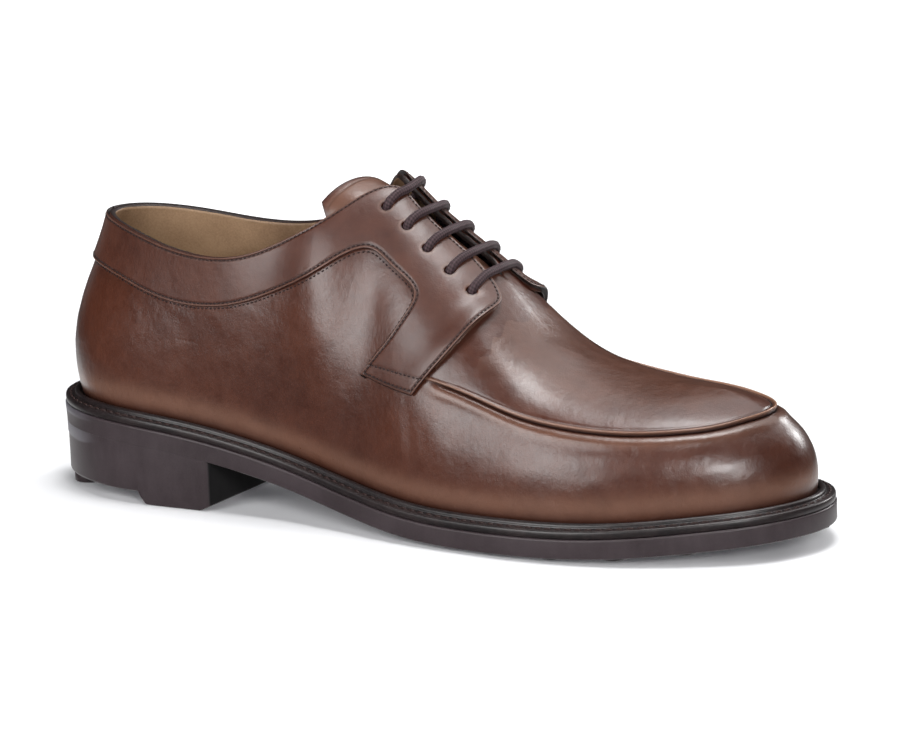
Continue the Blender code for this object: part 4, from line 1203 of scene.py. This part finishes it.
heelPiece = {
    "columns": 480, "length": 77.0, "inset": 0.05, "corner": 1.0,
    # stations that the edge is read at, and how many at the back are left out
    "edgeReach": 130.0, "edgeSteps": 700, "edgeSkip": 10,
    # underside: recess behind, flat pad, and a bevel up to the breast
    "under": ((46.6, 4.6), (47.4, 2.9), (49.6, 0.2), (50.4, 0.0), (72.2, 0.0), (73.2, 0.25), (77.0, 2.1)),
    "wall": (
        (-0.8, 0.0, 0.0, 0.0, 0.5, 0.0), (-0.03, 0.0, 0.0, 0.0, 0.5, 0.0),
        (0.0, 0.0, 0.0, 0.0, -0.05, 0.0), (0.0, -0.05, 0.0, 0.0, -0.3, -3.6),
        (0.0, -0.3, 0.0, 0.0, -0.5, -4.3), (-0.05, -0.35, 0.0, 1.0, 0.7, 0.6),
        (-0.25, -0.45, 0.0, 1.0, 0.25, 0.3), (-0.8, -0.9, 0.0, 1.0, 0.0, 0.05),
        (-1.2, -1.3, 0.0, 1.0, 0.0, 0.0),
    ),
    "bloomAndSheen": (0.0, 0.9, 1.0, 1.0, 0.0, 0.0, 0.0, 0.0, 0.0),
}


# Heel: the sole's outline at the back closed by a straight breast, on a flat pad with a recess behind it.
def makeHeel():
    fine = np.linspace(0.0, heelPiece["edgeReach"], heelPiece["edgeSteps"])
    length, corner, skip = heelPiece["length"], heelPiece["corner"], heelPiece["edgeSkip"]
    lines, ends = [], []
    for side in ("outer", "inner"):
        station = sideStation(fine, side)
        line = edgeLine(station, soleReach(station) - heelPiece["inset"])
        y = np.interp(length, line[skip:, 0], line[skip:, 1])
        lines.append(line[line[:, 0] < length - corner])
        ends.append(np.array([[length, y - np.sign(y) * corner]]))
    middle = (ends[0] + ends[1]) / 2
    halves = []
    for line, end in zip(lines, ends):
        whole = np.concatenate([line, end, middle])
        way = travelled(whole)
        halves.append(between(np.linspace(0.0, way[-1], heelPiece["columns"] // 2 + 1), way, whole))
    loop = np.concatenate([halves[0], halves[1][-2:0:-1]])
    wall, bloomAndSheen = heelPiece["wall"], heelPiece["bloomAndSheen"]

    def bottom(x):
        return np.interp(x, *np.array(heelPiece["under"]).T)

    return slab("heelRubber", loop, wall, tread, bottom, heelRubber, ["heel"], bloomAndSheen)


studPiece = {
    "radius": 5.5, "height": 1.8, "sides": 24, "sunk": 0.6,  # sunk is how far the top goes into the sole
    "foot": ((0.0, 0.45), (1.5, 0.45), (1.9, 0.0), (4.7, 0.0), (5.25, 0.2), (5.5, 0.6)),  # radius and height
    "forefoot": (
        (176.0, -34.0), (176.0, -10.0), (176.0, 14.0), (176.0, 32.0),
        (197.0, -40.5), (197.0, -12.0), (197.0, 14.0), (197.0, 39.0),
        (218.0, -40.5), (218.0, -12.0), (218.0, 14.0), (218.0, 40.0),
        (239.0, -36.0), (239.0, -11.0), (239.0, 14.0), (239.0, 38.0),
        (260.0, -26.0), (260.0, 2.0), (260.0, 29.0), (279.0, 4.0),
    ),
    "heel": ((10.5, -13.5), (10.5, 13.5), (32.0, -14.0), (32.0, 14.0)),
    "heelHeight": 4.6,
}


# Studs: a rounded profile with a dimple turned about an upright axis, its foot on the floor or under
# the tread.
def makeStuds(name, places, foot, studHeight, material):
    places, top = np.array(places), studHeight + studPiece["sunk"]
    turn = circleTurns(studPiece["sides"])
    radius, height = np.array(studPiece["foot"] + ((studPiece["radius"], top), (0.0, top))).T[..., None]
    x = places[:, 0][:, None, None] + radius * np.cos(turn)
    y = places[:, 1][:, None, None] + radius * np.sin(turn)
    z = foot(places[:, 0])[:, None, None] + height + 0 * turn
    points = np.stack([x, y, z], axis=-1)
    quads = repeatedQuads(*points.shape[:3])
    return makePiece(name, points, quads, [material], closed=True)


# Foot of a forefoot stud: its height under the tread, and never under the floor.
def forefootFloor(x):
    return np.maximum(tread(x) - studPiece["height"], 0.0)


insolePiece = {
    "columns": 240, "reach": -2.3, "rise": 1.5, "below": 2.4,
    "wall": (
        (-0.5, 0.0, 0.0, 0.0, 0.0, 0.0), (0.0, 0.0, 0.0, 0.0, -0.5, 0.0), (0.0, 0.0, 0.0, 1.0, 0.0, 0.0),
    ),
}


# Insole: a slab inside the upper's edge, from below the welt's top to a little above it.
def makeInsole():
    loop = edgeLine(evenStations(insolePiece["columns"]), insolePiece["reach"])

    def top(x):
        return weltTop(x) + insolePiece["rise"]

    def bottom(x):
        return weltTop(x) - insolePiece["below"]

    wall = insolePiece["wall"]
    return slab("insoleLeather", loop, wall, top, bottom, tanLining, ["insole"])


makeOutsole()
makeHeel()
makeStuds(
    "forefootStuds", studPiece["forefoot"], forefootFloor, studPiece["height"], soleRubber,
)
makeStuds("heelStuds", studPiece["heel"], np.zeros_like, studPiece["heelHeight"], heelRubber)
makeInsole()
makeWelt()
joinStitches("weltStitches", [weltStitches()], weltThread)
print("sole, heel, welt and insole made")
makeUpper()
makeApron()
joinStitches("apronStitches", [apronStitches()], seamThread)
for shoeSide in ("outer", "inner"):
    makeQuarter(shoeSide)
    stitchName, stitchSlot = "quarterStitches" + shoeSide.capitalize(), "quarter_%s_leather" % shoeSide
    joinStitches(stitchName, quarterStitches(shoeSide), seamThread)
print("upper, apron and quarters made")
makeTongue()
makeLace()
print("tongue and lace made")


floorLook = {
    "colour": (0.88, 0.885, 0.895, 1.0), "tint": (0.86, 0.865, 0.88, 1.0), "halfSize": 6.0,
    "cloud": (3.0, 2.0, 0.5),
    "glowNear": (0.02, 0.02, 0.025, 1.0), "glowFar": (0.75, 0.75, 0.75, 1.0), "glowSpan": (0.3, 0.9),
    "constants": {"Roughness": 0.3, "Specular IOR Level": 0.3, "Emission Strength": 1.0},
}


# Floor: one flat sheet that glows away from the shoe; the leather mirrors the room in place of it.
def makeFloor():
    half = floorLook["halfSize"]
    mesh = bpy.data.meshes.new("paleFloor")
    corners = [(-half, -half, 0.0), (half, -half, 0.0), (half, half, 0.0), (-half, half, 0.0)]
    mesh.from_pydata(corners, [], [(0, 1, 2, 3)])
    floor = bpy.data.objects.new("paleFloor", mesh)
    bpy.context.scene.collection.objects.link(floor)
    material, shader, wire, place = startMaterial("pale floor", floorLook["constants"])
    cloud = noise(wire, place, *floorLook["cloud"])
    away = wire.node("ShaderNodeVectorMath", {"operation": "LENGTH"}, {0: place}, "Value")
    far = ramp(wire, away, *floorLook["glowSpan"])
    glow = mixColour(wire, far, floorLook["glowNear"], floorLook["glowFar"])
    colour = mixColour(wire, cloud, floorLook["colour"], floorLook["tint"])
    connect(material, shader, Base_Color=colour, Emission_Color=glow)
    mesh.materials.append(material)
    floor.visible_glossy = False


studio = {
    "aim": (0.0, 0.0, 0.05),
    # brightness of the room: level, low in front and low behind, with the heights and depths where it changes
    "roomLevel": 0.015, "roomFront": 0.14, "roomBehind": 1.3,
    "heights": (-0.3, -0.12), "depths": (-0.1, 0.35),
    "roomColour": (1.0, 1.0, 1.0, 1.0),
    # name, place, width, height, power
    "lights": (
        ("frontSoftbox", (-0.6, -1.86, 0.84), 1.15, 1.4, 38.0),
        ("toeSideSoftbox", (1.36, -1.32, 0.73), 0.5, 0.5, 24.0),
        ("overheadSoftbox", (0.2, 0.05, 1.85), 0.75, 0.75, 25.0),
        ("toeSoftbox", (0.71, 1.43, 0.7), 0.5, 0.5, 15.0),
        ("heelStrip", (-1.4, 0.67, 0.12), 0.6, 0.3, 0.12),
        ("ceilingFill", (0.25, 0.7, 2.0), 2.2, 2.4, 30.0),
    ),
}


# Turns and places an object so that it looks from a place to a target: right, up and back are its axes.
def aim(item, place, target, roll=0.0):
    back = unit(np.asarray(place, float) - np.asarray(target, float))
    right = unit(np.cross((0.0, 0.0, 1.0), back))
    up = np.cross(back, right)
    matrix = np.eye(4)
    matrix[:3, 0] = right * np.cos(roll) + up * np.sin(roll)
    matrix[:3, 1] = up * np.cos(roll) - right * np.sin(roll)
    matrix[:3, 2], matrix[:3, 3] = back, place
    item.matrix_world = matrix.T.tolist()


# Lights: rectangles at their places, each turned to look at the aim.
def makeLights():
    for name, place, width, height, power in studio["lights"]:
        lamp = bpy.data.lights.new(name, "AREA")
        lamp.shape, lamp.size, lamp.size_y, lamp.energy = "RECTANGLE", width, height, power
        light = bpy.data.objects.new(name, lamp)
        bpy.context.scene.collection.objects.link(light)
        aim(light, place, studio["aim"])


# Room: dim at eye level and above, brighter low down, most of all behind, by the direction looked in.
def makeRoom():
    world = bpy.data.worlds.new("dim room")
    world.use_nodes = True
    wire, background = Wire(world.node_tree), world.node_tree.nodes["Background"]
    way = wire.node("ShaderNodeTexCoord", {}, {}, "Generated")
    behind = ramp(wire, axisOf(wire, way, "Y"), *studio["depths"])
    above = ramp(wire, axisOf(wire, way, "Z"), *studio["heights"])
    low = studio["roomFront"] + (studio["roomBehind"] - studio["roomFront"]) * behind
    bright = low * (1 - above) + studio["roomLevel"]
    world.node_tree.links.new(bright.socket, background.inputs["Strength"])
    background.inputs["Color"].default_value = studio["roomColour"]
    bpy.context.scene.world = world
    bpy.context.scene.view_settings.view_transform = "Standard"


cameraPlace = {
    "place": (0.8421, -1.4290, 0.4376), "aim": (0.0046, 0.0036, 0.0501), "roll": -2.04,
    "lens": 194.0, "sensor": 36.0, "nearest": 0.05,
}


# Camera: from its place to its aim, rolled about that line.
def makeCamera():
    camera = bpy.data.objects.new("camera", bpy.data.cameras.new("camera"))
    camera.data.sensor_width, camera.data.lens = cameraPlace["sensor"], cameraPlace["lens"]
    camera.data.clip_start = cameraPlace["nearest"]
    bpy.context.scene.collection.objects.link(camera)
    aim(camera, cameraPlace["place"], cameraPlace["aim"], np.radians(cameraPlace["roll"]))
    bpy.context.scene.camera = camera


makeFloor()
makeLights()
makeRoom()
makeCamera()
